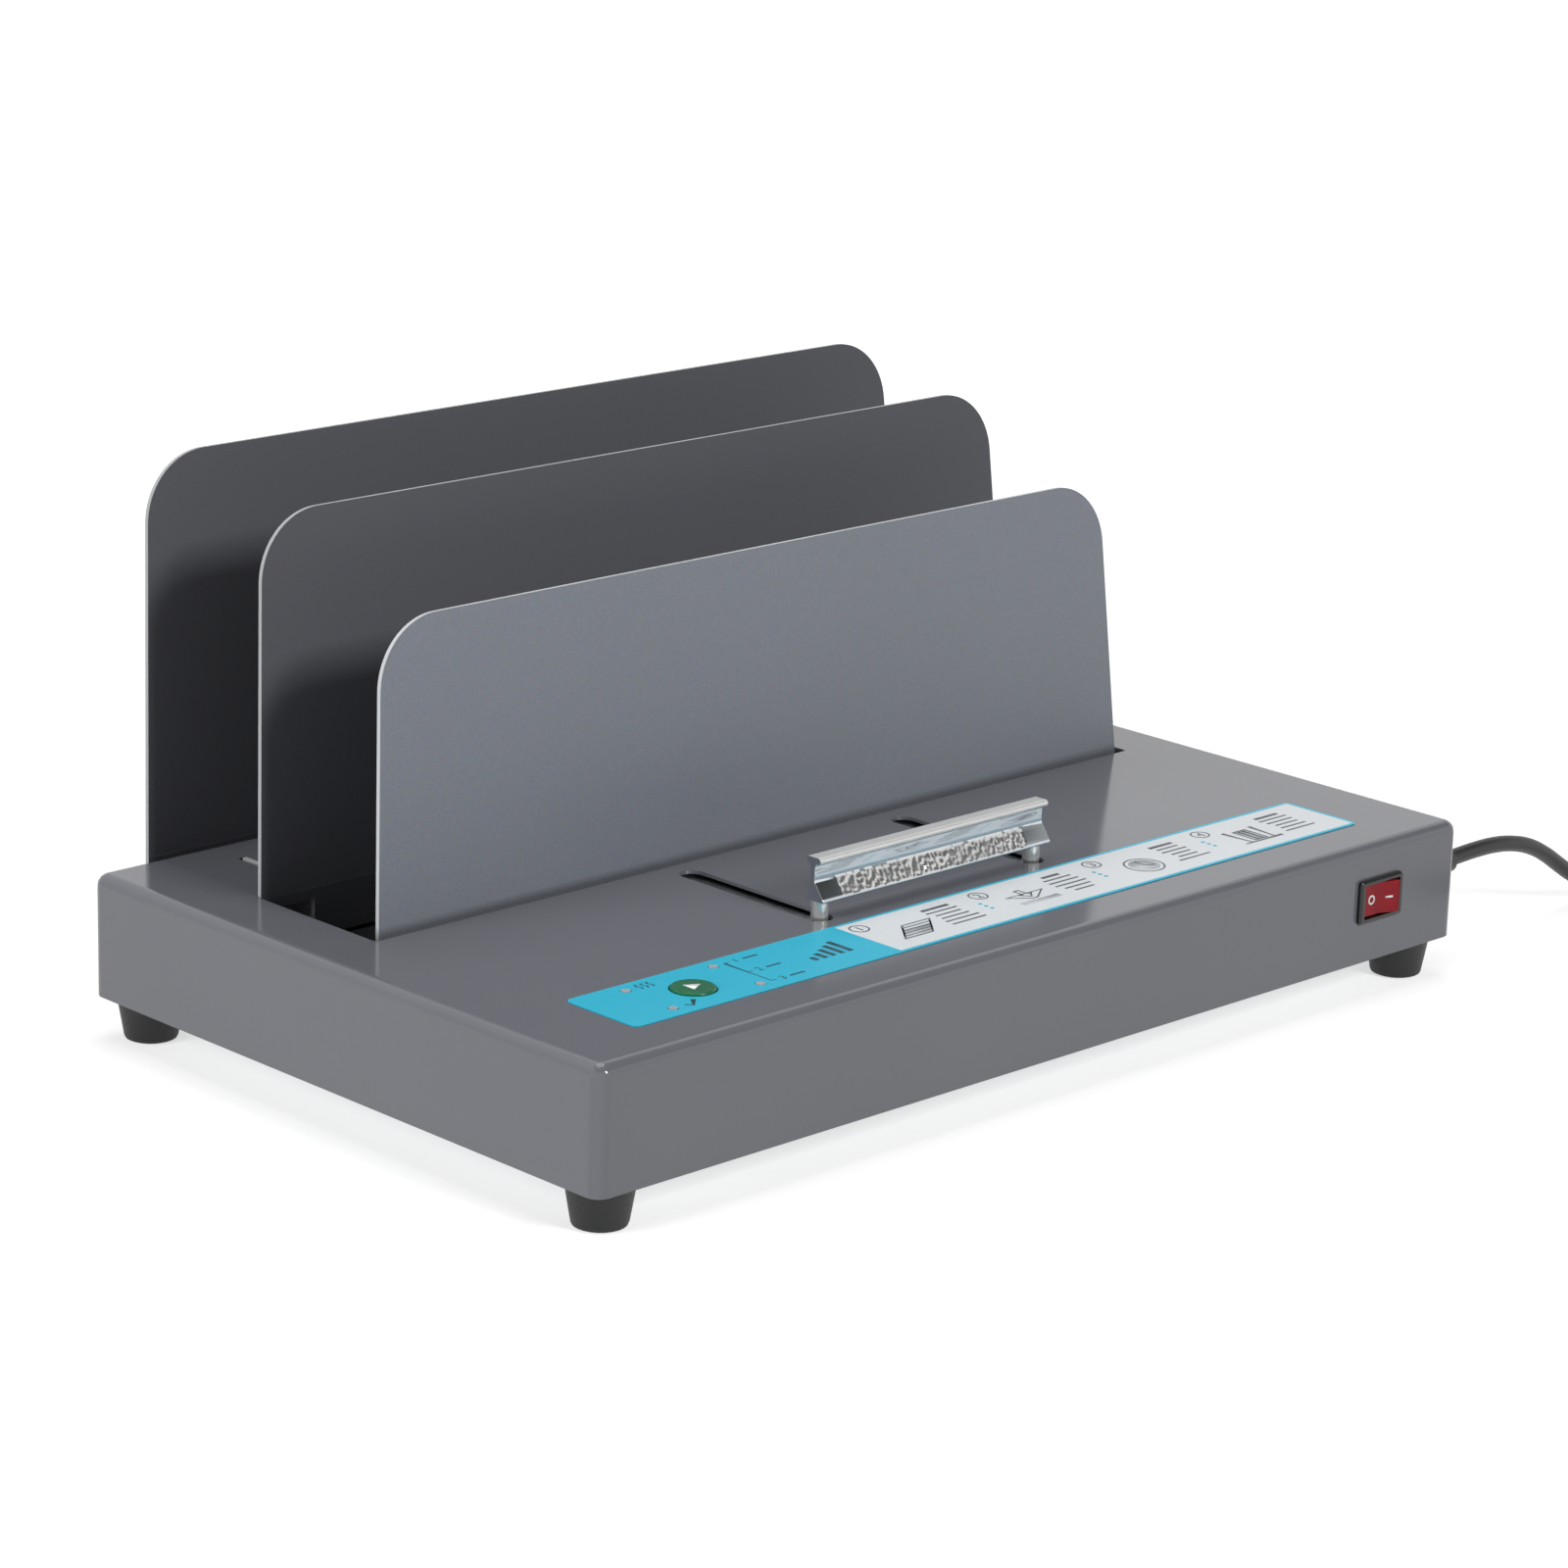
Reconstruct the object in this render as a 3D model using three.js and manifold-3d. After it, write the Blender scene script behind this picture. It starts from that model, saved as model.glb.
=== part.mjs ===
// Thermal binding machine: a flat sheet-steel body with three leaning plates, a heated well between
// the front and the middle plate, and a front plate that slides on two rods to clamp the pages.
// Millimetres, +Z up, +X to the operator's right, +Y away from the operator.
// While it is built, y = 0 is the body's front face; the last lines move the origin under its middle.

import * as THREE from 'three';
import { mergeVertices } from 'three/addons/utils/BufferGeometryUtils.js';
import Module from 'manifold-3d';

const wasm = await Module();
wasm.setup();

// Driving dimensions

const body = {
  width: 385,
  depth: 237,
  height: 40,
  sheet: 1.2,
  topRadius: 4,
  cornerRadius: 4.5,
  standsAt: 13.5,
};

const gap = {
  seat: 0.3, // between a piece and the one it rests on
  slide: 0.4, // beside a piece that slides
  hole: 0.3, // round a screw or a pin
  film: 0.05, // under a film that is glued down
  overrun: 2, // how far a cutting shape runs past what it cuts
  weld: 0.3, // how far two joined shapes run into each other
};

const plate = {
  sheet: 1.5,
  leanAngle: THREE.MathUtils.degToRad(4.4),
  taperAngle: THREE.MathUtils.degToRad(3.8),
  cornerRadius: 23,
};
const frontPlate = { sideInset: 27.5, height: 95.5, faceShare: 0.5473, skirtDrop: 15, skirtInset: 5 };
const middlePlate = {
  sideInset: 25,
  height: 118,
  faceShare: 0.7743,
  sideDrop: 4.5,
  skirtDrop: 15.5,
  skirtInset: 21.1,
  earLength: 36,
  flangeDepth: 20,
};
const backPlate = { sideInset: 22.5, height: 127, skirtDrop: 33 };

const well = { sideGap: 0.7, frontGap: 2.4, cornerRadius: 1.5 };
const earSlot = { width: 3.6 };

const pan = { sheet: 1.2, recess: 1.5, edgeGap: 0.5 };
const vent = { width: 3, length: 34, pitch: 9, count: 9, centreShare: 0.36 };
const foot = {
  topRadius: 10.9,
  bottomRadius: 8.6,
  edgeRadius: 1.2,
  edgeShare: 0.3,
  inset: 13,
  boreRadius: 4.8,
  boreDepth: 8,
};
const lug = { reach: 23, sheet: 1.5, nutRadius: 4, nutHeight: 3 };

const screw = {
  shankRadius: 1.9,
  headRadius: 3.6,
  headHeight: 2.2,
  crownShare: 0.7,
  slotWidth: 0.9,
  slotDepth: 1.1,
};
const nut = { acrossFlats: 6, height: 2.4, threadRise: 1 };
const rivet = { shankRadius: 1.4, headRadius: 2.7, headHeight: 1.3, crownShare: 0.6 };

const travel = { rearGap: 0.4, frontGap: 0.5 };
const carriage = { sheet: 1.5, topGap: 1.3, blockWidth: 16, blockHeight: 14 };
const rod = { radius: 3, inset: 20.5, drop: 10.5, tail: 4 };
const bush = { outerRadius: 5 };
const bracket = { width: 14, sheet: 1.5, toe: 9 };

const handle = {
  length: 102,
  postInset: 3.5,
  postShare: 0.2524,
  postRadius: 2.8,
  postRise: 6,
  rise: 14.2,
  lipFront: 3.4,
  lipBack: 2.9,
  lipThickness: 1.7,
  waistThickness: 1.7,
  footFront: 4.9,
  footBack: 2.7,
  footThickness: 1.1,
};
const handleSlot = { sideGap: 1.4, rearRoom: 9.3 };
const tongue = { margin: 4, nose: 8 };

const heater = {
  sideInset: 37.5,
  plateThickness: 5,
  topDrop: 18,
  traySheet: 1.2,
  flange: 8,
  toe: 9.5,
  elementGap: 0.55,
  elementThickness: 2.9,
  frontGap: 0.6,
};
const thermostat = {
  radius: 8,
  height: 7.5,
  capRadius: 9.5,
  capHeight: 1.6,
  tabWidth: 6.3,
  tabHeight: 2.8,
  tabThickness: 1,
};
const fuse = { radius: 2, length: 11, leadRadius: 0.6, leadLength: 6 };
const sensorWindow = { inset: 8, length: 32, edge: 4.95, sideGap: 1 };

const rail = { sideInset: 57.5, depth: 18, sheet: 1.5, toe: 12 };

const board = {
  length: 86,
  depth: 48,
  thickness: 1.6,
  leftShare: 0.1753, // of the body's width, from its left side to the board's middle
  centreShare: 0.1603,
  drop: 8,
  partInset: 2, // from the edge of the board to the parts under it
};
const spacer = { radius: 3, edge: 4 };
const transformer = {
  length: 30,
  depth: 25,
  height: 20,
  coreShare: 0.62,
  baseDepthShare: 0.9,
  baseHeightShare: 0.15,
  bobbinShares: [0.15, 0.85],
};
const relay = { length: 19, depth: 15.5, height: 15 };
const buzzer = { radius: 6, height: 8.5, holeRadius: 1, holeDepth: 2 };
const connector = { length: 24, depth: 9, height: 11, ways: 4, wayRadius: 1.6 };
const keySwitch = { size: 6, height: 3.5, plungerRadius: 1.7, plungerRise: 1.2 };
const led = { radius: 1.5, spacingX: 35.2, spacingY: 20.4, leftShare: 0.1774, centreShare: 0.146, proud: 0.15 };
const button = {
  radius: 7,
  leftShare: 0.1748,
  centreShare: 0.1418,
  proud: 0.9,
  edgeShare: 0.2,
  crownShare: 0.6,
  flangeRadius: 8.6,
  flangeHeight: 1.5,
  stemRadius: 2,
  press: 0.4,
};

const label = {
  leftInset: 31,
  rightInset: 30.5,
  frontShare: 0.0793,
  rearShare: 0.2101,
  film: 0.25,
  cornerRadius: 2.5,
};

const rockerSwitch = {
  inset: 41.1, // from the body's right side
  z: 34.8,
  bezelWidth: 21.5,
  bezelHeight: 14.8,
  bezelProud: 1.8,
  bezelEdge: 0.7,
  bodyWidth: 19,
  bodyHeight: 13.4,
  bodyDepth: 13,
  pocketDepth: 7,
  pocketLength: 17.6,
  rockerLength: 15.4,
  rockerHeight: 10.8,
  pinRadius: 1,
  pinLength: 1,
  tiltAngle: THREE.MathUtils.degToRad(10),
  axisDepth: 1.2,
  crownDrop: 0.5, // of the faces' middle line under the bezel
  keelDepth: 3.2,
  keelShare: 0.4,
  flankShare: 0.9,
  terminalLength: 7,
  terminalWidth: 4.8,
  terminalThickness: 0.8,
};

const cord = { diameter: 5.6, exitY: 21, exitZ: 30.2 };
const lead = {
  radius: 1.2,
  hole: 1.7,
  holeInset: 3.1, // from the inner end of the sensors' window
  holeRise: 4.5,
  bow: 8, // how far a lead swings out behind the terminals
  runShare: 0.1435, // where it runs along the base pan
  dropReach: 45.5,
  riseReach: 38,
  crossShare: 0.2616, // where the heater's lead comes down to the pan
  crossOffset: 2.9, // to the left of the hole
  climbShare: 0.3797, // where it leaves the pan again
};
const relief = {
  length: 22,
  rootRadius: 6.2,
  tipRadius: 4.1,
  neckRadius: 4.7,
  flangeRadius: 6.6,
  flangeLength: 2.5,
  grooveDepth: 0.7,
  grooveWidth: 1.6,
  groovePitch: 4.2,
  grooveCount: 4,
};
const coil = { reach: 129.5, centreY: -21.5, innerRadius: 22.6, pitch: 6.1, turns: 6.486, lift: 1 };
const tie = { thickness: 0.6, width: 5, headLength: 6, headHeight: 4 };
const plug = {
  length: 34,
  width: 26,
  thickness: 17,
  reliefLength: 22,
  reliefRadius: 6.5,
  tipRadius: 4.2,
  cornerRadius: 5,
  rearShares: [0.8, 0.6],
  shoulderShare: 0.9,
  gripShare: 0.6,
};
const pin = { length: 16, width: 6.3, thickness: 1.5, spacing: 13.7, earthRise: 4.5, angle: Math.PI / 6 };

// What follows from them

const topZ = body.standsAt + body.height;
const undersideZ = topZ - body.sheet;
const innerHalfWidth = body.width / 2 - body.sheet;
const panZ = body.standsAt + pan.recess;
const floorZ = panZ + pan.sheet; // upper face of the base pan
const standZ = floorZ + gap.seat; // where pieces stand on the pan

const leftX = -body.width / 2;
const rightX = body.width / 2;
const widthInside = (inset) => body.width - 2 * inset;
const frontWidth = widthInside(frontPlate.sideInset);
const middleWidth = widthInside(middlePlate.sideInset);
const backWidth = widthInside(backPlate.sideInset);
const skirtWidth = middleWidth - 2 * middlePlate.skirtInset;
const heaterLength = widthInside(heater.sideInset);
const railLength = widthInside(rail.sideInset);
const rodX = rightX - rod.inset;

const fromFront = (share) => share * body.depth;
const fromLeft = (share) => leftX + share * body.width;
const frontFaceY = fromFront(frontPlate.faceShare);
const middleFaceY = fromFront(middlePlate.faceShare);
const clampRearY = frontFaceY + plate.sheet;
const clampTravel = middleFaceY - travel.rearGap - clampRearY;

const postX = handle.length / 2 - handle.postInset;
const postY = fromFront(handle.postShare);
const slotRearY = postY + clampTravel + handleSlot.rearRoom;
const tongueWidth = handle.length + 2 * tongue.margin;

const boardAt = [fromLeft(board.leftShare), fromFront(board.centreShare)];
const ledsAt = [fromLeft(led.leftShare), fromFront(led.centreShare)];
const buttonAt = [fromLeft(button.leftShare), fromFront(button.centreShare), 0];
const labelXs = [leftX + label.leftInset, rightX - label.rightInset];
const labelYs = [fromFront(label.frontShare), fromFront(label.rearShare)];
const switchX = rightX - rockerSwitch.inset;
const coilX = rightX + coil.reach;

// Solids and meshes

const mergeDistance = 1e-4;
const roundSides = 16;
const fineSides = 24;

function toSolid(geometry) {
  const loose = geometry.index ? geometry.toNonIndexed() : geometry.clone();
  loose.deleteAttribute('normal');
  loose.deleteAttribute('uv');
  const merged = mergeVertices(loose, mergeDistance);
  const vertProperties = merged.getAttribute('position').array;
  const triVerts = new Uint32Array(merged.index.array);
  return new wasm.Manifold(new wasm.Mesh({ numProp: 3, vertProperties, triVerts }));
}

function toGeometry(solid) {
  const mesh = solid.getMesh();
  const geometry = new THREE.BufferGeometry();
  geometry.setAttribute('position', new THREE.BufferAttribute(mesh.vertProperties, 3));
  geometry.setIndex(new THREE.BufferAttribute(mesh.triVerts, 1));
  geometry.computeVertexNormals();
  return geometry;
}

function join(...geometries) {
  return toGeometry(geometries.map(toSolid).reduce((sum, next) => sum.add(next)));
}

function cut(geometry, ...tools) {
  const removed = tools.map(toSolid).reduce((sum, next) => sum.add(next));
  return toGeometry(toSolid(geometry).subtract(removed));
}

const span = (centre, size) => [centre - size / 2, centre + size / 2];
const middle = (range) => (range[0] + range[1]) / 2;
const sizeOf = (range) => range[1] - range[0];

function block(xs, ys, zs) {
  const geometry = new THREE.BoxGeometry(sizeOf(xs), sizeOf(ys), sizeOf(zs));
  return geometry.translate(middle(xs), middle(ys), middle(zs));
}

// A round bar along an axis, from one place to another; the centre is [x, y, z] with that axis ignored.
function bar(axis, radius, range, centre, sides = roundSides) {
  const geometry = new THREE.CylinderGeometry(radius, radius, sizeOf(range), sides);
  const place = new THREE.Vector3(...centre);
  place[axis] = middle(range);
  if (axis === 'z') geometry.rotateX(Math.PI / 2);
  if (axis === 'x') geometry.rotateZ(Math.PI / 2);
  return geometry.translate(place.x, place.y, place.z);
}

function roundedShape(xs, ys, radius) {
  const shape = new THREE.Shape();
  shape.absarc(xs[1] - radius, ys[1] - radius, radius, 0, Math.PI / 2);
  shape.absarc(xs[0] + radius, ys[1] - radius, radius, Math.PI / 2, Math.PI);
  shape.absarc(xs[0] + radius, ys[0] + radius, radius, Math.PI, 1.5 * Math.PI);
  shape.absarc(xs[1] - radius, ys[0] + radius, radius, 1.5 * Math.PI, 2 * Math.PI);
  return shape;
}

function upright(shape, zs, curveSegments = 4) {
  const settings = { depth: sizeOf(zs), bevelEnabled: false, curveSegments };
  const geometry = new THREE.ExtrudeGeometry(shape, settings);
  return geometry.translate(0, 0, zs[0]);
}

function roundedOutline(halfX, halfY, radius, steps) {
  const points = [];
  for (let corner = 0; corner < 4; corner += 1) {
    const start = (corner * Math.PI) / 2;
    const centreX = (corner === 0 || corner === 3 ? 1 : -1) * (halfX - radius);
    const centreY = (corner < 2 ? 1 : -1) * (halfY - radius);
    for (let step = 0; step <= steps; step += 1) {
      const angle = start + (step / steps) * (Math.PI / 2);
      points.push([centreX + radius * Math.cos(angle), centreY + radius * Math.sin(angle)]);
    }
  }
  return points;
}

// Joins a stack of outlines with equal point counts, each at its own height, into one closed body.
function stack(levels) {
  const count = levels[0].outline.length;
  const positions = [];
  const indices = [];
  for (const level of levels) {
    for (const [x, y] of level.outline) positions.push(x, y, level.z);
  }
  for (let level = 0; level + 1 < levels.length; level += 1) {
    for (let i = 0; i < count; i += 1) {
      const a = level * count + i;
      const b = level * count + ((i + 1) % count);
      indices.push(a, b, b + count, a, b + count, a + count);
    }
  }
  const top = (levels.length - 1) * count;
  for (let i = 1; i + 1 < count; i += 1) {
    indices.push(0, i + 1, i);
    indices.push(top, top + i, top + i + 1);
  }
  const geometry = new THREE.BufferGeometry();
  geometry.setAttribute('position', new THREE.Float32BufferAttribute(positions, 3));
  geometry.setIndex(indices);
  return geometry;
}

// A box with round upright corners and a round edge all along its top.
function crownedBox(halfX, halfY, zs, cornerRadius, topRadius, steps = 4) {
  const levels = [{ z: zs[0], outline: roundedOutline(halfX, halfY, cornerRadius, steps) }];
  for (let step = 0; step <= steps; step += 1) {
    const angle = (step / steps) * (Math.PI / 2);
    const inset = topRadius * (1 - Math.cos(angle));
    const outline = roundedOutline(halfX - inset, halfY - inset, cornerRadius - inset, steps);
    levels.push({ z: zs[1] - topRadius + topRadius * Math.sin(angle), outline });
  }
  return stack(levels);
}

function turned(profile, sides = roundSides) {
  const points = profile.map(([radius, along]) => new THREE.Vector2(radius, along));
  return new THREE.LatheGeometry(points, sides).rotateX(Math.PI / 2);
}

const finishes = {
  paint: { color: 0x74757a, roughness: 0.32, metalness: 0.1 },
  satin: { color: 0x7d838b, roughness: 0.42, metalness: 0.7 },
  zinc: { color: 0x9ea2a6, roughness: 0.45, metalness: 0.9 },
  steel: { color: 0x8c8f92, roughness: 0.4, metalness: 1 },
  chrome: { color: 0xd9dcde, roughness: 0.08, metalness: 1 },
  brass: { color: 0xb5984f, roughness: 0.35, metalness: 1 },
  aluminium: { color: 0x34363a, roughness: 0.5, metalness: 0.4 },
  rubber: { color: 0x17181a, roughness: 0.75, metalness: 0 },
  blackPlastic: { color: 0x141416, roughness: 0.4, metalness: 0 },
  whitePlastic: { color: 0xd8d8d2, roughness: 0.5, metalness: 0 },
  bluePlastic: { color: 0x2a62a8, roughness: 0.5, metalness: 0 },
  redClear: { color: 0xa0101c, roughness: 0.15, metalness: 0 },
  green: { color: 0x0f6a3c, roughness: 0.35, metalness: 0 },
  film: { color: 0x35aecb, roughness: 0.4, metalness: 0 },
  board: { color: 0x1e6b42, roughness: 0.5, metalness: 0 },
  fibre: { color: 0xc9c3b4, roughness: 0.9, metalness: 0 },
  mica: { color: 0xb07a48, roughness: 0.6, metalness: 0 },
  lens: { color: 0xc9d6d8, roughness: 0.2, metalness: 0 },
};

const machine = new THREE.Group();
const cordGroup = new THREE.Group();

function add(name, finish, geometry, group = machine) {
  const mesh = new THREE.Mesh(geometry, new THREE.MeshStandardMaterial(finishes[finish]));
  mesh.name = name;
  group.add(mesh);
  return mesh;
}

function place(geometry, [x, y, z]) {
  return geometry.clone().translate(x, y, z);
}

// A pan-head screw with a cross slot, its head above z = 0 and its shank below.
function screwAt(kind, length) {
  const { shankRadius, headRadius, headHeight, crownShare, slotWidth, slotDepth } = kind;
  const solid = turned(
    [
      [0, -length],
      [shankRadius, -length],
      [shankRadius, 0],
      [headRadius, 0],
      [headRadius, headHeight / 2],
      [headRadius * crownShare, headHeight],
      [0, headHeight],
    ],
    roundSides / 2,
  );
  const slotZ = [headHeight - slotDepth, headHeight + gap.overrun];
  const long = span(0, headRadius);
  const narrow = span(0, slotWidth);
  return cut(solid, join(block(long, narrow, slotZ), block(narrow, long, slotZ)));
}

const facing = {
  up: (geometry) => geometry.clone(),
  down: (geometry) => geometry.clone().rotateX(Math.PI),
  rear: (geometry) => geometry.clone().rotateX(-Math.PI / 2),
  front: (geometry) => geometry.clone().rotateX(Math.PI / 2),
};

function screws(name, words, length, direction, places) {
  const one = facing[direction](screwAt(screw, length));
  words.forEach((word, i) => add(`${name}_${word}`, 'steel', place(one, places[i])));
}

// A rivet that grows from a sheet, passes the sheet beside it and holds that with its head.
// Drawn along +Z from z = 0, the face that it grows from, past a sheet of the given thickness.
function rivetAt(thickness) {
  const headZ = gap.seat + thickness + gap.seat;
  return turned(
    [
      [0, -gap.weld],
      [rivet.shankRadius, -gap.weld],
      [rivet.shankRadius, headZ],
      [rivet.headRadius, headZ],
      [rivet.headRadius * rivet.crownShare, headZ + rivet.headHeight],
      [0, headZ + rivet.headHeight],
    ],
    roundSides / 2,
  );
}

function rivets(thickness, direction, places) {
  const one = facing[direction](rivetAt(thickness));
  return places.map((at) => place(one, at));
}

function rivetHoles(axis, range, places) {
  return holes(axis, rivet.shankRadius + gap.hole, through(range), places);
}

function holes(axis, radius, range, places) {
  return places.map((at) => bar(axis, radius, range, at, roundSides / 2));
}

const bothSides = (x) => [-x, x];
const through = (zs) => [zs[0] - gap.overrun, zs[1] + gap.overrun];

// Top cover

const wellYs = [frontFaceY - well.frontGap, middleFaceY + plate.sheet + gap.slide];
const wellXs = span(0, middleWidth + 2 * well.sideGap);
const earX = skirtWidth / 2; // outer face of an ear
const slotHalf = handle.postRadius + handleSlot.sideGap;

const ledPlaces = bothSides(led.spacingX / 2).flatMap((dx) =>
  bothSides(led.spacingY / 2).map((dy) => [ledsAt[0] + dx, ledsAt[1] + dy, 0]),
);
const footPlaces = bothSides(body.width / 2 - foot.inset).flatMap((x) =>
  [foot.inset, body.depth - foot.inset].map((y) => [x, y, 0]),
);
const cornerNames = ['front_left', 'rear_left', 'front_right', 'rear_right'];
const spacerPlaces = bothSides(board.length / 2 - spacer.edge).flatMap((dx) =>
  bothSides(board.depth / 2 - spacer.edge).map((dy) => [boardAt[0] + dx, boardAt[1] + dy]),
);
const spacerZ = undersideZ - board.drop + gap.seat;
const backScrewZ = topZ - backPlate.skirtDrop / 2;
const backScrewShares = [-0.4, -0.15, 0.15, 0.4];
const backScrewPlaces = backScrewShares.map((share) => [share * backWidth, 0, backScrewZ]);

function handleSlots(zs) {
  return bothSides(postX).map((x) => {
    const ys = [postY - slotHalf, slotRearY];
    return upright(roundedShape([x - slotHalf, x + slotHalf], ys, slotHalf), zs, 6);
  });
}

function earSlots(zs) {
  return [-1, 1].map((side) => {
    const inner = side * (earX - plate.sheet - gap.slide);
    const outer = inner + side * earSlot.width;
    const ys = [wellYs[1] - gap.overrun, middleFaceY + middlePlate.earLength + gap.slide];
    return block([Math.min(inner, outer), Math.max(inner, outer)], ys, zs);
  });
}

// A plate welded into each lower corner, with a nut on it for the screw of the foot below.
function cornerLugs() {
  const innerX = innerHalfWidth + gap.weld;
  return footPlaces.flatMap(([x, y]) => {
    const side = Math.sign(x);
    const front = y < body.depth / 2;
    const xs = [side * innerX, side * (innerX - lug.reach)].sort((a, b) => a - b);
    const wallY = front ? body.sheet - gap.weld : body.depth - body.sheet + gap.weld;
    const ys = [wallY, front ? wallY + lug.reach : wallY - lug.reach].sort((a, b) => a - b);
    const zs = [standZ, standZ + lug.sheet];
    const shape = roundedShape(xs, ys, body.cornerRadius);
    return [
      upright(shape, zs),
      bar('z', lug.nutRadius, [zs[1] - gap.weld, zs[1] + lug.nutHeight], [x, y, 0], 6),
    ];
  });
}

// Studs under the top that the control board hangs on: a shoulder above it and a head below.
function boardStuds() {
  return spacerPlaces.flatMap((at) => [
    bar('z', spacer.radius, [spacerZ, undersideZ + gap.weld], at, roundSides / 2),
    place(facing.down(rivetAt(board.thickness)), [at[0], at[1], spacerZ]),
  ]);
}

function topCover() {
  const centreY = body.depth / 2;
  const wall = body.sheet;
  const outer = crownedBox(
    body.width / 2,
    body.depth / 2,
    [body.standsAt, topZ],
    body.cornerRadius,
    body.topRadius,
  ).translate(0, centreY, 0);
  const inner = crownedBox(
    body.width / 2 - wall,
    body.depth / 2 - wall,
    [body.standsAt - gap.overrun, undersideZ],
    body.cornerRadius - wall,
    body.topRadius - wall,
    2,
  ).translate(0, centreY, 0);
  const topZs = through([undersideZ, topZ]);
  const sideXs = through([innerHalfWidth, body.width / 2]);
  const lugZs = through([standZ, standZ + lug.sheet + lug.nutHeight]);
  const bodyXs = span(switchX, rockerSwitch.bodyWidth + 2 * gap.hole);
  const bodyZs = span(rockerSwitch.z, rockerSwitch.bodyHeight + 2 * gap.hole);
  const shell = join(cut(outer, inner), ...cornerLugs(), ...boardStuds());
  return cut(
    shell,
    upright(roundedShape(wellXs, wellYs, well.cornerRadius), topZs),
    ...earSlots(topZs),
    ...handleSlots(topZs),
    bar('z', button.radius + gap.slide, topZs, buttonAt, fineSides),
    ...holes('z', led.radius + gap.hole, topZs, ledPlaces),
    block(bodyXs, through([0, wall]), bodyZs),
    bar('x', relief.neckRadius + gap.hole, sideXs, [0, cord.exitY, cord.exitZ]),
    ...holes('y', screw.shankRadius + gap.hole, through([body.depth - wall, body.depth]), backScrewPlaces),
    ...holes('z', screw.shankRadius + gap.hole, lugZs, footPlaces),
  );
}

add('top_cover', 'paint', topCover());

// Places of what stands on the base pan

const bracketX = rodX;
const blockYs = [clampRearY - plate.sheet - gap.seat - carriage.blockWidth, frontFaceY - gap.seat];
const frontPost = [blockYs[0] - travel.frontGap - bracket.sheet, blockYs[0] - travel.frontGap];
const rearPostY = blockYs[1] + clampTravel + travel.frontGap;
const rearPost = [rearPostY, rearPostY + bracket.sheet];
const bracketYs = [frontPost[0] - bracket.toe, rearPost[1] + bracket.toe];
const bracketRivets = bothSides(bracketX).flatMap((x) =>
  [bracketYs[0] + bracket.toe / 2, bracketYs[1] - bracket.toe / 2].map((y) => [x, y]),
);

const railYs = [
  middleFaceY + plate.sheet + gap.seat,
  middleFaceY + plate.sheet + gap.seat + rail.depth,
];
const railTopZ = topZ - middlePlate.skirtDrop - plate.sheet - gap.seat;
const railRivetShares = [-0.36, 0, 0.36];
const railRivets = railRivetShares.map((share) => [share * railLength, railYs[1] + rail.toe / 2, 0]);

const trayYs = [clampRearY + heater.frontGap, middleFaceY - heater.frontGap];
const trayMouthYs = [trayYs[0] + heater.flange, trayYs[1] - heater.flange]; // between its flanges
const heaterTopZ = topZ - heater.topDrop;
const heaterBottomZ = heaterTopZ - heater.plateThickness;
const trayTopZ = heaterBottomZ - gap.seat;
const flangeRivetInset = heater.traySheet + gap.slide + rivet.headRadius;
const heaterRivets = bothSides(heaterLength / 2 - flangeRivetInset).flatMap((x) =>
  [trayYs[0] + flangeRivetInset, trayYs[1] - flangeRivetInset].map((y) => [x, y, heaterBottomZ]),
);
const trayRivetX = heaterLength / 2 + heater.toe / 2 - heater.traySheet / 2;
const trayRivets = bothSides(trayRivetX).map((x) => [x, middle(trayYs), 0]);

function ventSlots(zs) {
  const slots = [];
  for (let i = 0; i < vent.count; i += 1) {
    const x = (i - (vent.count - 1) / 2) * vent.pitch;
    const ys = span(body.depth * vent.centreShare, vent.length);
    slots.push(block(span(x, vent.width), ys, zs));
  }
  return slots;
}

function basePan() {
  const inset = body.sheet + pan.edgeGap;
  const shape = roundedShape(
    span(0, body.width - 2 * inset),
    [inset, body.depth - inset],
    body.cornerRadius - body.sheet,
  );
  const zs = [panZ, floorZ];
  const onFloor = ([x, y]) => [x, y, floorZ];
  return cut(
    join(
      upright(shape, zs),
      ...rivets(bracket.sheet, 'up', bracketRivets.map(onFloor)),
      ...rivets(rail.sheet, 'up', railRivets.map(onFloor)),
      ...rivets(heater.traySheet, 'up', trayRivets.map(onFloor)),
    ),
    ...holes('z', screw.shankRadius + gap.hole, through(zs), footPlaces),
    ...ventSlots(through(zs)),
  );
}

add('base_pan', 'zinc', basePan());

// A screw from below holds each foot; its head is sunk in the foot's bore.
const footTopZ = panZ - gap.seat;
const footSeatZ = foot.boreDepth;

function footGeometry() {
  const shankHole = screw.shankRadius + gap.hole;
  const { topRadius, bottomRadius, edgeRadius, edgeShare, boreRadius } = foot;
  return turned(
    [
      [boreRadius, 0],
      [bottomRadius - edgeRadius, 0],
      [bottomRadius - edgeRadius * edgeShare, edgeRadius * edgeShare],
      [bottomRadius, edgeRadius],
      [topRadius, footTopZ],
      [shankHole, footTopZ],
      [shankHole, footSeatZ],
      [boreRadius, footSeatZ],
      [boreRadius, 0],
    ],
    fineSides,
  );
}

cornerNames.forEach((word, i) => add(`foot_${word}`, 'rubber', place(footGeometry(), footPlaces[i])));

const footScrewZ = footSeatZ - gap.seat;
const footScrewLength = standZ + lug.sheet + lug.nutHeight + nut.threadRise - footScrewZ;
const footScrewPlaces = footPlaces.map(([x, y]) => [x, y, footScrewZ]);
screws('foot_screw', cornerNames, footScrewLength, 'down', footScrewPlaces);

// Upright plates

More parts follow.
